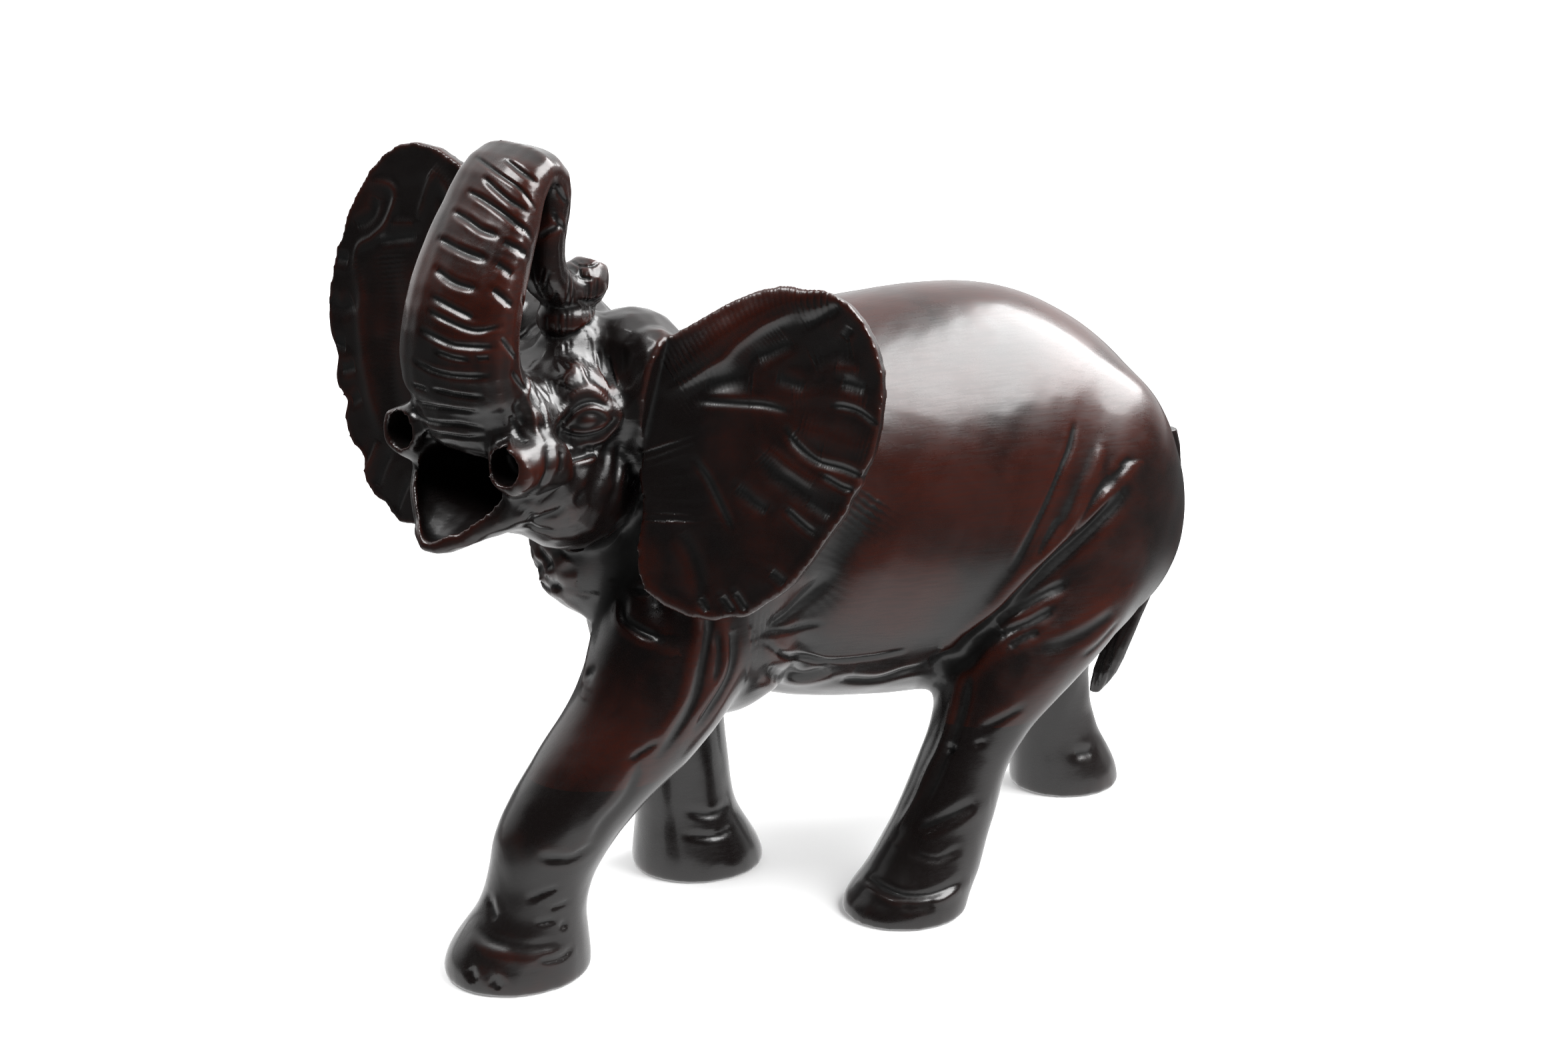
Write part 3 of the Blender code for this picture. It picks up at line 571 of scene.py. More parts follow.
LEFT_EAR_STROKES = (
    ("ridge", 4.2, 3, (2, 8), (7.5, 13.5), (13.5, 19.5), (20, 25), (28, 29.5), (37, 31.5)),
    ("ridge", 1, 0.8, (3, 4.5), (9, 9.5), (14, 13.8), (17, 18), (22.5, 23.2), (29, 27.5)),
    (2.6, 1.2, (6, 1), (11, 6.5), (17, 11), (22, 17.5), (27, 22.5)),
    (1.3, 0.9, (31.5, 25), (34.5, 27), (38, 29.5), (39.5, 31)),
    (1.1, 0.8, (41, 23.5), (42.5, 26.5), (44.5, 29.5)),
    (2.6, 1, (34, 17.5), (39, 20.5), (43.5, 22.3), (49, 23.5)),
    (1.4, 1, (42, 14), (48, 13.5), (51.5, 14.5)),
    ("ridge", 1.4, 0.6, (40, 17), (46, 17.3), (51, 18.5)),
    ("ridge", 2.8, 0.7, (31, 9), (40, 11), (49, 11)),
    (0.7, 0.8, (41, 8.5), (44, 8.8), (47.5, 8.3), (52, 6)),
    ("ridge", 3.2, 0.8, (34, 2.5), (43, 1.5), (51, 0.5)),
    (0.9, 1.1, (31.5, 1), (34.5, -2), (39.5, -4.5), (46, -5), (51, -6)),
    (2.4, 0.6, (32.5, 0.5), (36.5, -2), (41, -2.5)),
    (0.8, 0.9, (41.5, -7.5), (46, -9), (49.5, -9.5)),
    (2.2, 1.1, (26, -6), (31, -9.5), (37, -11.8), (42.5, -13.3), (47, -13.3)),
    ("ridge", 1.6, 0.7, (28, -4), (34, -7), (40, -9.5)),
    (0.9, 0.9, (34.5, -16.5), (38.5, -19), (42.5, -21)),
    (1.3, 0.7, (39, -14), (45, -16.3)),
    (1.5, 0.9, (22, -14), (26.5, -16.5), (30.5, -18)),
    (0.8, 0.8, (11.5, -10), (15, -13.5), (18.5, -18), (22.5, -23.5)),
    ("fold", 1.7, 0.7, (11, -27), (15, -32), (17.5, -37), (18.5, -42.5)),
    (1, 0.9, (23, -39.5), (26.5, -43)),
    (0.9, 0.9, (26, -38), (29.5, -41.5)),
    (1, 0.9, (29, -35.5), (34.5, -39)),
    (1.2, 0.8, (33.5, -31.5), (37.5, -33.5)),
    (0.9, 0.7, (18, -41), (20.5, -44)),
    (0.9, 0.8, (10, 3.5), (21, 5), (25.5, 5.5), (31, 5.3)),
    (1.5, 0.8, (21.5, 15.5), (26, 18.5), (29.5, 21)),
    (2.6, 0.9, (10, 9), (16, 9.3), (22, 10)),
    (1.5, 0.7, (26.5, 12.2), (31, 11.7), (34, 11)),
    (6, 1.3, (2, -8), (6, -16), (8, -26)),
    ("ridge", 1.6, 0.6, (4, -40), (12, -43.5), (24, -44.8)),
)

RIGHT_EAR_STROKES = (
    ("ridge", 1.2, 1, (47.5, 34.5), (44, 35), (41, 34.3), (40, 31.5), (42, 25), (45.5, 21),
     (49.5, 18), (50, 13)),
    ("ridge", 2.2, 1.2, (50, 14), (46.5, 7), (45.5, 0), (43.5, -7), (39, -18), (33, -28)),
    (4, 1.4, (40, 18), (37, 6), (36, -8), (31, -20), (24, -30)),
    (1.6, 0.9, (46, 31), (47, 26.5), (51.5, 22.5)),
    (1.2, 0.9, (43.5, 20.5), (37.5, 22.5), (32, 24)),
    ("ridge", 1.3, 0.8, (40.5, 25.5), (33, 27)),
    ("ridge", 1.4, 0.8, (28.5, 41), (30.5, 35), (32, 28)),
    (1.4, 0.9, (56.5, 14), (52.5, 14)),
    (2, 1, (57, 3), (53, 1.5), (49, 4)),
    (1.6, 1, (54, -8), (50, -7.5)),
    (1.4, 1, (50.5, -14), (46, -12)),
    (1.4, 0.9, (47, -22), (43, -19)),
    ("ridge", 1.2, 0.7, (35, -29), (36.5, -34), (38.5, -38)),
    (1.5, 0.9, (31, -30), (33, -36), (34, -41)),
    (1.2, 0.8, (24, -36), (26, -42), (27, -46)),
    (1.5, 0.8, (12, 22), (22, 30), (27, 38)),
    ("ridge", 2.6, 1.4, (1, 12), (8, 22), (18, 33), (30, 41)),
)

# bites out of the edges of the ears: outward, up, radius, how deep
RIGHT_EAR_NOTCHES = ((57, 20, 3.5, 1.0), (57.5, 11, 3.0, 0.8), (53.5, -11, 3.5, 1.8),
                     (48.5, -22, 3.2, 2.4), (41.5, -35.5, 3.2, 2.2), (31, -46, 3.5, 1.4))
LEFT_EAR_NOTCHES = ((51.5, -5.5, 2.5, 0.7), (49.5, -11, 2.5, 0.6), (34.5, -39.5, 2.5, 0.6),
                    (25, -44.5, 2.5, 0.6), (31, 31.5, 3.0, 0.9))


# how much of the drawn depth and width is cut
FACE_DEPTH = {"ridge": 0.6, "fold": 0.45, "groove": 0.65}
TRUNK_FINENESS = 0.68
EAR_DEPTH = {"front": 0.6, "back": 0.25}
BODY_DEPTH = 0.8

# heights of the slow and the quick undulation of the hand-worked skin
BODY_WAVES = (0.045, 0.015)
HEAD_WAVES = (0.05, 0.02)


def each_stroke(table):
    """Kind, half width, depth and route of every stroke in a table."""
    for stroke in table:
        kind, width, depth, *route = stroke if isinstance(stroke[0], str) else ("groove", *stroke)
        yield kind, width, depth, route


def carve_body(stock):
    stock.prepare()
    for kind, width, depth, route in each_stroke(BODY_STROKES + RIGHT_STROKES):
        stock.stroke(kind, width, depth * BODY_DEPTH, placed(route, BODY))
    # dewlap: sagging rings of skin under the throat
    for level in range(6):
        height = 104 - 4.2 * level
        sag = 1.2 * math.sin(2.1 * level)
        route = [(x, -90, height - 0.006 * (x - 6) ** 2 + sag * math.sin(0.2 * x))
                 for x in range(-16, 29, 4)]
        stock.stroke("fold", 1.3, 0.9, placed(route, BODY), reach=30)
    # creases round the neck, behind the cheek and under the ear
    for turn in range(3):
        route = [(30 + 1.5 * turn, -52 + 5.0 * turn, z) for z in range(88, 125, 6)]
        stock.stroke("fold", 1.8, 0.8, placed(route, BODY), reach=12)
    # the hip bones
    stock.bump(BODY, (30, 84, 122), (9, 10, 14), 0.8)
    stock.bump(BODY, (-30, 92, 122), (9, 10, 14), 0.8)
    slow, quick = BODY_WAVES
    stock.relief += slow * undulation(stock.points, 16, 1) + quick * undulation(stock.points, 4, 2)
    stock.cut()


def carve_head(stock):
    stock.prepare()
    # the brow, and the hollow between the left eye and the trunk's root
    stock.bump(HEAD, (12.5, -31, 147), (5, 5.5, 4.5), 1.3)
    stock.bump(HEAD, (-12.5, -31, 147), (5, 5.5, 4.5), 1.3)
    stock.bump(HEAD, (19, -40, 139), (5, 4, 6), -1.2)
    for side in (1, -1):
        # flesh that carries the tusk sockets into the cheek and the lip
        stock.bump(HEAD, (20.5 * side, -41, 127), (6, 6, 7), 1.8)
        stock.bump(HEAD, (15 * side, -45, 139.5), (5, 6, 4.5), 1.6)
        stock.bump(HEAD, (18 * side, -46, 121.5), (4, 5, 4), 1.6)
    stock.cut()
    stock.prepare()
    for side in (1, -1):
        # the eyeball, and the lines round it and down the cheek
        stock.bump(HEAD, (19.2 * side, -32.6, 138.6), (3, 2.3, 1.7), 0.7)
        for kind, width, depth, route in each_stroke(FACE_STROKES):
            route = [head_point(left * side, forward, height) for left, forward, height in route]
            stock.stroke(kind, width, depth * FACE_DEPTH[kind], route)
    for kind, width, depth, route in each_stroke(TRUNK_STROKES):
        route = [head_point(*place) for place in route]
        stock.stroke(kind, width * TRUNK_FINENESS, depth * TRUNK_FINENESS, route)
    carve_ear(stock, LEFT_EAR, 1, LEFT_EAR_STROKES, LEFT_EAR_NOTCHES)
    carve_ear(stock, RIGHT_EAR, -1, RIGHT_EAR_STROKES, RIGHT_EAR_NOTCHES)
    hair_marks(stock)
    slow, quick = HEAD_WAVES
    stock.relief += slow * undulation(stock.points, 9, 3) + quick * undulation(stock.points, 3, 4)
    stock.cut()


def carve_ear(stock, ear, side, strokes, notches):
    """Strokes on the hollow front of an ear, the same turned inside out on its back."""
    turned = ear.to_3x3()
    for kind, width, depth, route in each_stroke(strokes):
        for face, side_depth in ((-1, EAR_DEPTH["front"]), (1, EAR_DEPTH["back"])):
            spots = []
            for outward, up in route:
                start = ear @ Vector((side * outward, RAY_START * face, up))
                spot = stock.tree.ray_cast(start, turned @ Vector((0, -face, 0)), RAY_LENGTH)[0]
                if spot is not None:
                    spots.append(spot)
            if len(spots) > 1:
                stock.stroke(kind, width, depth * side_depth, spots)
    for outward, up, radius, bite in notches:
        inward = Vector((-side * outward, 0, -up)).normalized() * bite
        for back in (-2, 3):
            stock.pull(ear @ Vector((side * outward, back, up)), radius, turned @ inward)


def hair_marks(stock):
    """Short fine chisel cuts over the forehead, combed back and down."""
    draw = np.random.default_rng(11)
    for _ in range(150):
        side = draw.choice((-1, 1))
        left = side * draw.uniform(2, 17)
        forward = draw.uniform(20, 44)
        length = draw.uniform(2.5, 5)
        route = []
        for t in (0, 0.5, 1):
            step = length * t
            start = HEAD @ Vector((left + side * 0.8 * step, -forward - 0.35 * step, 175))
            spot = stock.tree.ray_cast(start, head_direction(0, 0, -1), RAY_LENGTH)[0]
            if spot is not None:
                route.append(spot)
        if len(route) == 3:
            stock.stroke("groove", 0.42, draw.uniform(0.06, 0.17), route)


# -------- stain, and painted shade in the hollows

# Where the stain is rubbed through to the red wood: frame, place, radius, strength.
RUBBED = (
    (BODY, (34, 18, 118), 30, 0.8), (BODY, (36, 8, 88), 17, 1.1), (BODY, (37, 45, 112), 22, 0.75),
    (BODY, (12, 10, 154), 18, 0.6), (BODY, (30, 62, 128), 22, 0.8), (BODY, (10, 70, 146), 24, 0.7),
    (BODY, (40, 66, 84), 14, 0.5), (BODY, (34, -70, 62), 12, 0.45), (BODY, (30, -84, 42), 9, 0.25),
    (BODY, (36, -96, 12), 7, 0.35), (BODY, (-34, 18, 118), 30, 0.8), (BODY, (-36, 30, 88), 20, 0.9),
    (BODY, (-36, 65, 118), 26, 0.8), (BODY, (-34, 96, 96), 18, 0.6), (BODY, (0, 40, 156), 26, 0.5),
    (HEAD, (-11, -56, 168), 11, 1.1), (HEAD, (6, -56, 166), 12, 0.9),
    (HEAD, (0, -50, 184), 14, 0.7), (HEAD, (17, -24, 144), 5, 1.2),
    (HEAD, (18, -38, 115), 8, 0.5), (HEAD, (24, -52, 131), 5, 0.5),
    (LEFT_EAR, (16, -3, 24), 13, 1.0), (LEFT_EAR, (30, -3, -24), 15, 0.55),
    (LEFT_EAR, (16, -3, -36), 12, 0.5), (LEFT_EAR, (30, -3, 6), 13, 0.45),
    (LEFT_EAR, (2, -3, -36), 8, 0.8), (LEFT_EAR, (44, -3, 20), 10, 0.4),
    (RIGHT_EAR, (-30, -3, 12), 12, 0.5), (RIGHT_EAR, (-48, -3, 30), 10, 0.5),
    (RIGHT_EAR, (-40, -3, -34), 9, 0.5), (RIGHT_EAR, (-16, 3, 26), 14, 0.8),
    (LEFT_EAR, (30, 5, 0), 22, 0.6), (RIGHT_EAR, (-34, 5, 0), 24, 0.6),
)


def stain_and_shade_values(stock):
    """How red the wood is, and how dark its hollows are, on each point: black staining in the
    carved grooves, painted shade in the broad hollows under and between the forms.
    """
    red = np.zeros(len(stock.points))
    for frame_of, place, radius, strength in RUBBED:
        squared = ((stock.points - np.array(frame_of @ Vector(place))) ** 2).sum(axis=1)
        red = np.maximum(red, strength * np.exp(-squared / radius ** 2))
    # two blurs of the skin: rounds, step of a round, and the depth that counts as a full hollow;
    # the fine blur finds the carved grooves, which hold black staining, and the broad one the
    # hollows under and between the forms, whose darkening is painted shade
    hollow_stain_and_shade = 0.0
    sharp = stock.points
    for rounds, step, full in ((14, 0.6, 0.10), (60, 0.8, 0.35)):
        soft = sharp
        for _ in range(rounds):
            soft = soft + step * (stock.neighbour_mean(soft) - soft)
        hollow_stain_and_shade = hollow_stain_and_shade + np.clip(((soft - sharp) * stock.normals).sum(axis=1) / full, -1, 1)
        sharp = soft
    return {"rubbed": red, "hollow_stain_and_shade": hollow_stain_and_shade}


# -------- materials

class Nodes:
    """Short ways to make the nodes of a material or of the world."""

    def __init__(self, owner):
        owner.use_nodes = True
        self.owner = owner
        self.tree = owner.node_tree
        self.shader = self.tree.nodes.get("Principled BSDF")

    def feed(self, node, inputs):
        """Link or set inputs of a node, by name or number."""
        for key, value in inputs.items():
            if isinstance(value, bpy.types.NodeSocket):
                self.tree.links.new(value, node.inputs[key])
            else:
                node.inputs[key].default_value = value

    def make(self, kind, inputs=None, **settings):
        made = self.tree.nodes.new(kind)
        for key, value in settings.items():
            setattr(made, key, value)
        self.feed(made, inputs or {})
        return made

    def math(self, operation, first, second=0.0, third=0.0):
        return self.make("ShaderNodeMath", {0: first, 1: second, 2: third},
                         operation=operation).outputs[0]

    def blend(self, factor, first, second):
        return self.make("ShaderNodeMix", {"Factor": factor, "A": first, "B": second},
                         data_type="RGBA").outputs["Result"]

    def ramp(self, value, low, high, start=0.0, end=1.0, shape="SMOOTHSTEP"):
        """From start to end while value goes from low to high."""
        return self.make("ShaderNodeMapRange", {"Value": value, "From Min": low, "From Max": high,
                                                "To Min": start, "To Max": end},
                         interpolation_type=shape).outputs[0]

    def noise(self, vector, scale, detail=3.0, roughness=0.5, distortion=0.0):
        return self.make("ShaderNodeTexNoise",
                         {"Vector": vector, "Scale": scale, "Detail": detail,
                          "Roughness": roughness, "Distortion": distortion}).outputs[0]

    def stretched(self, vector, scale):
        return self.make("ShaderNodeMapping", {"Vector": vector, "Scale": scale}).outputs[0]

    def show(self, output, seen, mirrored):
        """Give the camera one shader and every other ray another."""
        eye = self.make("ShaderNodeLightPath").outputs["Is Camera Ray"]
        mix = self.make("ShaderNodeMixShader", {0: eye, 1: mirrored.outputs[0], 2: seen.outputs[0]})
        self.feed(self.tree.nodes[output], {"Surface": mix.outputs[0]})


def grain_of(nodes, place, along):
    """Long pores of the wood, which run along one direction."""
    scale = [1.0, 1.0, 1.0]
    scale[along] = 0.06
    return nodes.noise(nodes.stretched(place, scale), 1500.0, 3.0, 0.6)


def stained_wood(name, darkness):
    """Red wood stained nearly black, waxed and polished; darkness holds the red back. Its hollows
    are darkened: black staining in the carved grooves, painted shade in the broad hollows.
    """
    nodes = Nodes(bpy.data.materials.new(name))
    place = nodes.make("ShaderNodeTexCoord").outputs["Object"]
    rubbed = nodes.make("ShaderNodeAttribute", attribute_name="rubbed").outputs["Fac"]
    hollow_stain_and_shade = nodes.make("ShaderNodeAttribute", attribute_name="hollow_stain_and_shade").outputs["Fac"]
    cloud = nodes.noise(place, 60.0, 5.0, 0.6, 0.4)
    streak = nodes.noise(nodes.stretched(place, (1.0, 0.35, 0.6)), 160.0, 4.0, 0.6, 0.6)
    grain = grain_of(nodes, place, 1)
    speck = nodes.noise(place, 900.0, 2.0, 0.7)
    wear_and_painted_shade = nodes.math("MULTIPLY_ADD", cloud, 0.9, nodes.math("MULTIPLY", streak, 0.5))
    wear_and_painted_shade = nodes.math("ADD", wear_and_painted_shade, rubbed)
    # less red in the hollows: black staining in the carved grooves, painted shade in the broad
    # hollows
    wear_and_painted_shade = nodes.math("SUBTRACT", wear_and_painted_shade, nodes.math("MULTIPLY", hollow_stain_and_shade, 0.35))
    redness = nodes.ramp(wear_and_painted_shade, 0.75 + darkness, 1.75 + darkness)
    # the hollows go black: staining in the carved grooves, painted shade in the broad hollows under
    # and between the forms
    black = nodes.ramp(hollow_stain_and_shade, 0.25, 1.3)
    stain_and_shade_colour = nodes.blend(redness, (0.0048, 0.0030, 0.0028, 1), (0.0340, 0.0056, 0.0026, 1))
    fibre = nodes.ramp(grain, 0.42, 0.62)
    stain_and_shade_colour = nodes.blend(nodes.math("MULTIPLY", fibre, 0.28), stain_and_shade_colour, (0.0040, 0.0022, 0.0020, 1))
    stain_and_shade_colour = nodes.blend(black, stain_and_shade_colour, (0.0024, 0.0021, 0.0020, 1))
    dull = nodes.math("MULTIPLY_ADD", nodes.ramp(cloud, 0.3, 0.7), 0.08, 0.23)
    dull = nodes.math("MULTIPLY_ADD", nodes.ramp(hollow_stain_and_shade, 0.2, 1.4), 0.14, dull)
    dull = nodes.math("MULTIPLY_ADD", fibre, 0.04, dull)
    height = nodes.math("MULTIPLY_ADD", grain, -0.35, nodes.math("MULTIPLY", speck, 0.3))
    height = nodes.math("MULTIPLY_ADD", streak, 0.25, height)
    bump = nodes.make("ShaderNodeBump", {"Strength": 0.35, "Distance": 0.00012, "Height": height})
    nodes.feed(nodes.shader, {"Base Color": stain_and_shade_colour, "Roughness": dull, "Normal": bump.outputs[0],
                              "IOR": 1.5, "Coat Weight": 0.25, "Coat Roughness": 0.12})
    return nodes.owner


def dowel_wood():
    """Bare turned wood of the hidden dowels."""
    nodes = Nodes(bpy.data.materials.new("bare_dowel_wood"))
    place = nodes.make("ShaderNodeTexCoord").outputs["Object"]
    rings = nodes.noise(nodes.stretched(place, (1.0, 1.0, 0.15)), 700.0, 4.0, 0.6, 0.3)
    pores = grain_of(nodes, place, 2)
    tone = nodes.blend(nodes.ramp(rings, 0.35, 0.65), (0.36, 0.22, 0.12, 1), (0.50, 0.33, 0.19, 1))
    pored = nodes.math("MULTIPLY", nodes.ramp(pores, 0.5, 0.7), 0.5)
    tone = nodes.blend(pored, tone, (0.2, 0.11, 0.05, 1))
    dull = nodes.math("MULTIPLY_ADD", pores, 0.15, 0.5)
    bump = nodes.make("ShaderNodeBump", {"Strength": 0.4, "Distance": 0.0001, "Height": pores})
    nodes.feed(nodes.shader, {"Base Color": tone, "Roughness": dull, "Normal": bump.outputs[0]})
    return nodes.owner


# -------- parting into blocks

NECK_PLANE = (head_point(0, 10, 121.5), head_direction(0, 0.68, 0.733).normalized())
TRUNK_PLANE = (head_point(0, 50, 146), head_direction(0, 0.387, 0.922).normalized())
LEFT_EAR_PLANE = (head_point(25.5, 0, 140), head_direction(1, 0, 0))
RIGHT_EAR_PLANE = (head_point(-25.5, 0, 140), head_direction(-1, 0, 0))
LEG_PLANE = (Vector((0, 0, 49.0)), Vector((0, 0, 1)))
NECK_HALF = 24.0     # half the width of the neck's slice that is fused to the head, and its depth
NECK_DEPTH = 9.0
NECK_SLICE = ((NECK_PLANE[0] - NECK_DEPTH * NECK_PLANE[1], -NECK_PLANE[1]),
              (head_point(NECK_HALF, 0, 130), head_direction(1, 0, 0)),
              (head_point(-NECK_HALF, 0, 130), head_direction(-1, 0, 0)))


def beyond(plane):
    """The same plane, with its other side kept."""
    return plane[0], -plane[1]


def behind(points, planes):
    """Which points are behind every plane, or less than the lap in front of it."""
    keep = np.ones(len(points), bool)
    for point, normal in planes:
        keep &= (points - np.array(point)) @ np.array(normal) < LAP
    return keep


def region(stock, planes, seed):
    """The connected part of the stock round seed and behind every plane."""
    points, faces, numbers = kept_part(stock.points, stock.faces, behind(stock.points, planes))
    label = components(len(points), edges_of(faces))
    nearest = np.linalg.norm(points - np.array(seed), axis=1).argmin()
    points, faces, inner = kept_part(points, faces, label == label[nearest])
    return points, faces, numbers[inner]


def part_off(stock, values, name, node_name, seed, planes, material):
    """One block: its region of the stock, with a flat closed face at each joint."""
    points, faces, numbers = region(stock, planes, seed)
    mesh = mesh_from(name, points, faces, {key: value[numbers] for key, value in values.items()})
    shape = bmesh.new()
    shape.from_mesh(mesh)
    for point, normal in planes:
        geometry = shape.verts[:] + shape.edges[:] + shape.faces[:]
        bmesh.ops.bisect_plane(shape, geom=geometry, plane_co=point * MM, plane_no=normal,
                               clear_outer=True)
    rim = [edge for edge in shape.edges if edge.is_boundary]
    for face in shape.faces:
        face.smooth = True
    caps = bmesh.ops.holes_fill(shape, edges=rim, sides=0)["faces"]
    for face in caps:
        face.smooth = False
    for edge in rim:
        edge.smooth = False
    bmesh.ops.recalc_face_normals(shape, faces=shape.faces)
    shape.to_mesh(mesh)
    shape.free()
    mesh.materials.append(material)
    piece = in_scene(name, mesh)
    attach(piece, "root")
    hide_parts(node_name)
    return piece


# -------- studio

TARGET = (BODY @ Vector((-2.0, -5.0, 97.0))) * MM
AZIMUTH = math.radians(65.0)
ELEVATION = math.radians(14.5)
DISTANCE = 0.56
FAR = Vector((-math.sin(AZIMUTH), math.cos(AZIMUTH), 0.0))     # level, away from the camera
RIGHT = Vector((math.cos(AZIMUTH), math.sin(AZIMUTH), 0.0))    # level, to the camera's right


def camera():
    back = Vector((-FAR.x * math.cos(ELEVATION), -FAR.y * math.cos(ELEVATION), math.sin(ELEVATION)))
    lens = bpy.data.cameras.new("camera")
    lens.lens = 50.0
    lens.sensor_width = 36.0
    eye = in_scene("camera", lens)
    eye.location = TARGET + back * DISTANCE
    eye.rotation_euler = back.to_track_quat("Z", "Y").to_euler()
    bpy.context.scene.camera = eye


def softbox(name, turn, height, distance, size, radiance):
    """A rectangular light; turn is from straight away from the camera towards its right."""
    turn = math.radians(turn)
    height = math.radians(height)
    level = FAR * math.cos(turn) + RIGHT * math.sin(turn)
    direction = level * math.cos(height) + Vector((0, 0, math.sin(height)))
    light = bpy.data.lights.new(name, "AREA")
    light.shape = "RECTANGLE"
    light.size = size[0]
    light.size_y = size[1]
    light.energy = radiance * math.pi * size[0] * size[1]
    lamp = in_scene(name, light)
    lamp.location = TARGET + direction * distance
    lamp.rotation_euler = direction.to_track_quat("Z", "Y").to_euler()


def surround():
    """White to the eye; the wood mirrors a bright wall behind it and a dim room in front."""
    world = bpy.data.worlds.new("studio")
    bpy.context.scene.world = world
    nodes = Nodes(world)
    white = nodes.tree.nodes["Background"]
    nodes.feed(white, {"Color": (1, 1, 1, 1), "Strength": 1.05})
    direction = nodes.make("ShaderNodeTexCoord").outputs["Generated"]
    towards_wall = nodes.make("ShaderNodeVectorMath", {0: direction, 1: FAR + Vector((0, 0, 0.6))},
                              operation="DOT_PRODUCT").outputs["Value"]
    room = nodes.make("ShaderNodeBackground",
                      {"Strength": nodes.ramp(towards_wall, 0.1, 0.8, 0.05, 1.5)})
    nodes.show("World Output", white, room)


def studio_floor():
    """A pale floor that glows, more with distance from the figure, so that it shows white; to the
    wood it is a glowing sheet close round the figure, which the wood mirrors and is lit by, and a
    dim room beyond.
    """
    half = 30.0
    mesh = bpy.data.meshes.new("floor")
    mesh.from_pydata([(-half, -half, 0), (half, -half, 0), (half, half, 0), (-half, half, 0)],
                     [], [(0, 1, 2, 3)])
    floor = in_scene("floor", mesh)
    pale = Nodes(bpy.data.materials.new("pale_floor"))
    place = pale.make("ShaderNodeTexCoord").outputs["Object"]
    away = pale.make("ShaderNodeVectorMath", {0: place}, operation="LENGTH").outputs["Value"]
    # the floor's own glow, painted light that grows with distance from the figure until the floor
    # is plain white
    pale.feed(pale.shader, {
        "Base Color": (0.80, 0.80, 0.80, 1), "Roughness": 0.9, "Specular IOR Level": 0.1,
        "Emission Color": (1, 1, 1, 1),
        "Emission Strength": pale.ramp(away, 0.35, 1.5, 0.22, 1.1, "LINEAR")})
    # a glowing sheet that only the wood sees, bright close round the figure and dim beyond: a
    # painted reflection of a lit floor, which also lights the wood from below
    glowing_sheet = pale.make("ShaderNodeEmission", {"Strength": pale.ramp(away, 0.14, 0.30, 1.3, 0.12)})
    pale.show("Material Output", pale.shader, glowing_sheet)
    mesh.materials.append(pale.owner)


# -------- build

HEAD_BLOCKS = (
    ("head", head_point(0, 20, 109),
     (beyond(NECK_PLANE), TRUNK_PLANE, LEFT_EAR_PLANE, RIGHT_EAR_PLANE)),
    ("trunk", head_point(0, 55, 175), (beyond(TRUNK_PLANE), LEFT_EAR_PLANE, RIGHT_EAR_PLANE)),
    ("left_ear", LEFT_EAR @ Vector((45, 0, 0)), (beyond(LEFT_EAR_PLANE),)),
    ("right_ear", RIGHT_EAR @ Vector((-45, 0, 0)), (beyond(RIGHT_EAR_PLANE),)),
)
BODY_BLOCKS = (
    ("body", BODY @ Vector((0, 40, 157)), (NECK_PLANE, beyond(LEG_PLANE))),
    ("front_left_leg", BODY @ Vector((22, -87, 0)), (LEG_PLANE,)),
    ("front_right_leg", BODY @ Vector((-20, -22, 0)), (LEG_PLANE,)),
    ("hind_left_leg", BODY @ Vector((31, 14, 0)), (LEG_PLANE,)),
    ("hind_right_leg", BODY @ Vector((-29, 99, 0)), (LEG_PLANE,)),
)


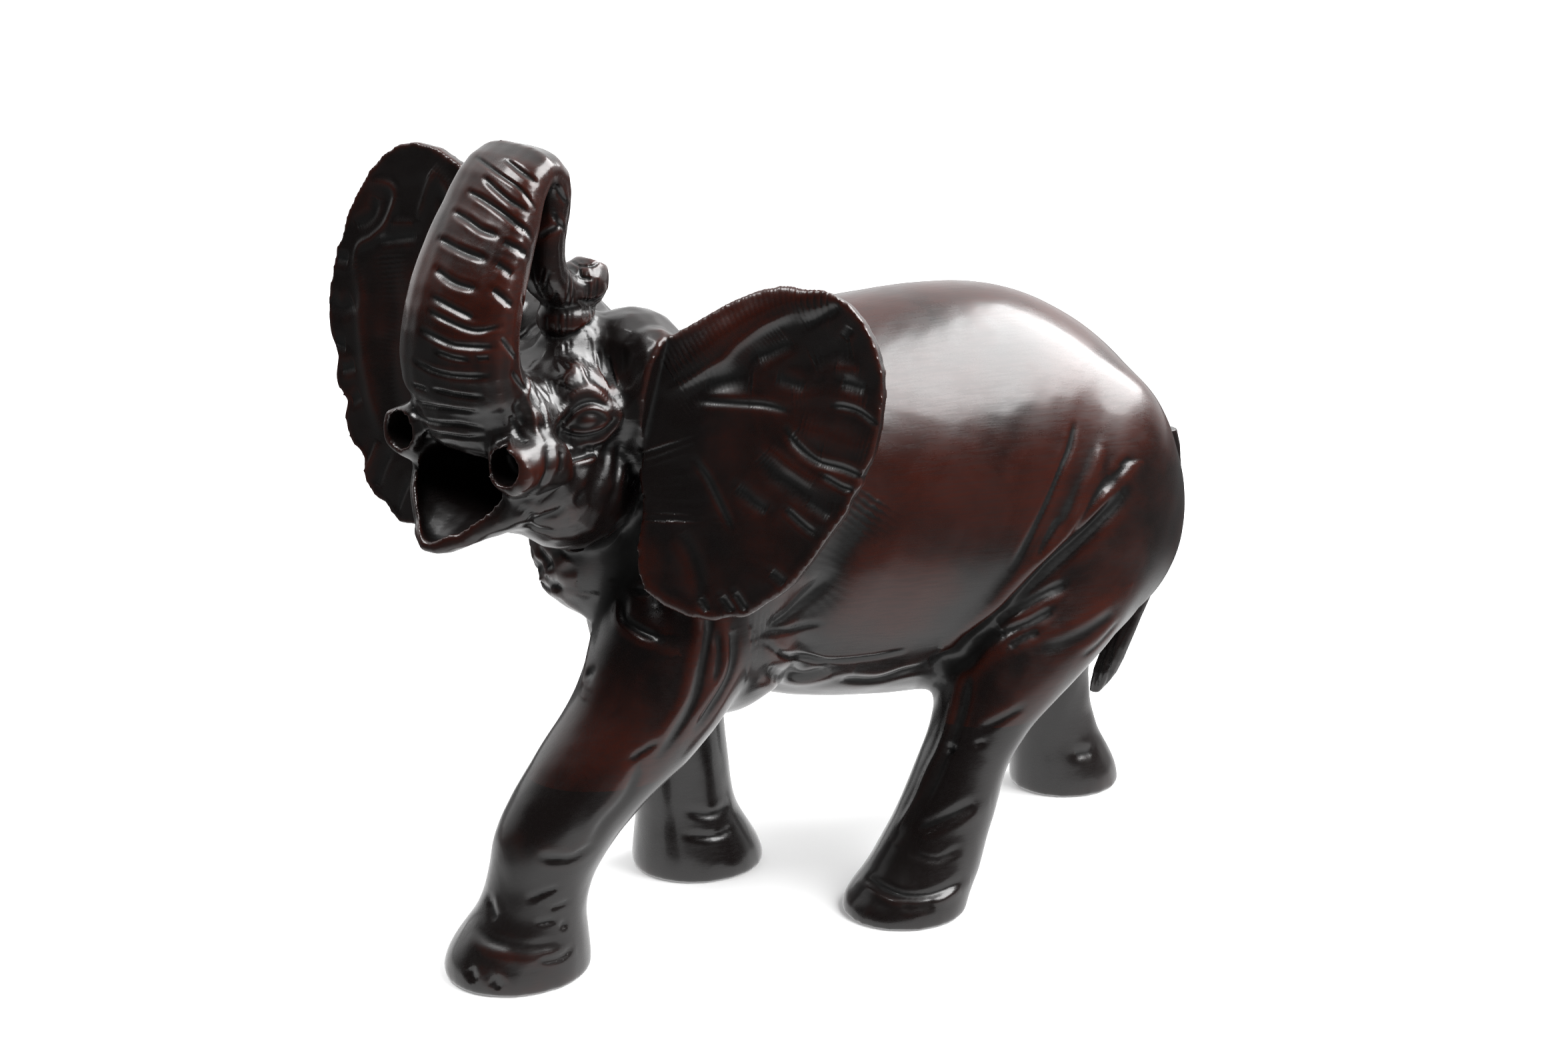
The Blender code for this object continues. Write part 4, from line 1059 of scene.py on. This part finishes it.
def main():
    camera()
    surround()
    studio_floor()
    softbox("side_softbox", 92, 47, 0.9, (1.30, 0.66), 12.0)
    softbox("top_softbox", -118, 58, 0.9, (0.40, 0.32), 13.0)

    wood = stained_wood("stained_hardwood_skin", 0.0)
    head_wood = stained_wood("head_stained_hardwood_skin", 0.12)
    dark_wood = stained_wood("dark_stained_hardwood_skin", 0.5)
    bare = dowel_wood()
    for name, holder in frame["nodes"].items():
        if "dowel" in name:
            holder.data.materials.clear()
            holder.data.materials.append(bare)

    # the ears hang beside the shoulders, so the head is fused to no more than a slice of the neck
    names = [name for name, _, _ in HEAD_BLOCKS]
    stock = fused_stock(names + ["body"], VOXEL, {"body": NECK_SLICE})
    stock.smooth(HEAD_ROUNDS, stock_softness(stock.points))
    from_middle = stock.points - np.array(head_point(0, 0, 0))
    outward = np.abs(from_middle @ np.array(head_direction(1, 0, 0)))
    keep = behind(stock.points, (beyond(NECK_PLANE),)) | (outward > NECK_HALF + 1.0)
    head = Stock(*kept_part(stock.points, stock.faces, keep)[:2])
    for _ in range(FINE_LEVELS):
        head = head.subdivide()
    carve_head(head)
    stock = fused_stock(["head"] + [name for name, _, _ in BODY_BLOCKS], VOXEL)
    stock.smooth(FACET_ROUNDS, barrel(stock.points), PLAIN)
    stock.smooth(BODY_ROUNDS, stock_softness(stock.points))
    points, faces, _ = region(stock, (NECK_PLANE,), BODY_BLOCKS[0][1])
    body = Stock(points, faces)
    carve_body(body)
    body.points[:, 2] = np.maximum(body.points[:, 2], 0.0)

    for block, blocks in ((head, HEAD_BLOCKS), (body, BODY_BLOCKS)):
        values = stain_and_shade_values(block)
        for name, seed, planes in blocks:
            leg = name.endswith("leg")
            skin = dark_wood if leg else wood if name in ("body", "trunk") else head_wood
            part_off(block, values, "carved_" + name, name, seed, planes, skin)
    carve_tail(dark_wood)


def ahead_of_neck(points):
    return (points - np.array(NECK_PLANE[0])) @ np.array(NECK_PLANE[1])


def stock_softness(points):
    """Full smoothing on the body and legs, less on the thin and pointed forms of the head."""
    return 1.0 - 0.2 * np.clip(ahead_of_neck(points) / 8.0, 0, 1)


def barrel(points):
    """1 on the back, flanks and haunches, a quarter on the belly and legs, and 0 at the neck."""
    back = np.clip((-4.0 - ahead_of_neck(points)) / 10.0, 0, 1)
    return back * (0.25 + 0.75 * np.clip((points[:, 2] - 66.0) / 14.0, 0, 1))


def carve_tail(material):
    tail = fused_stock(("tail",), 0.6 * VOXEL)
    tail.smooth(TAIL_ROUNDS)
    tail.prepare()
    for turn in range(5):
        route = [(math.cos(turn * 1.3) * 3 - 4.5, 96 + math.sin(turn * 1.3) * 3, z)
                 for z in (60, 52, 44, 37)]
        tail.stroke("groove", 0.6, 0.5, placed(route, BODY), reach=12)
    for level in range(7):
        route = [(x, 117, 104 - 6.5 * level) for x in (-3, 0, 3)]
        tail.stroke("groove", 0.6, 0.3, placed(route, BODY), reach=14)
    tail.cut()
    part_off(tail, stain_and_shade_values(tail), "carved_tail", "tail", tail.points[0], (), material)


main()
bpy.context.scene.view_settings.view_transform = "Standard"
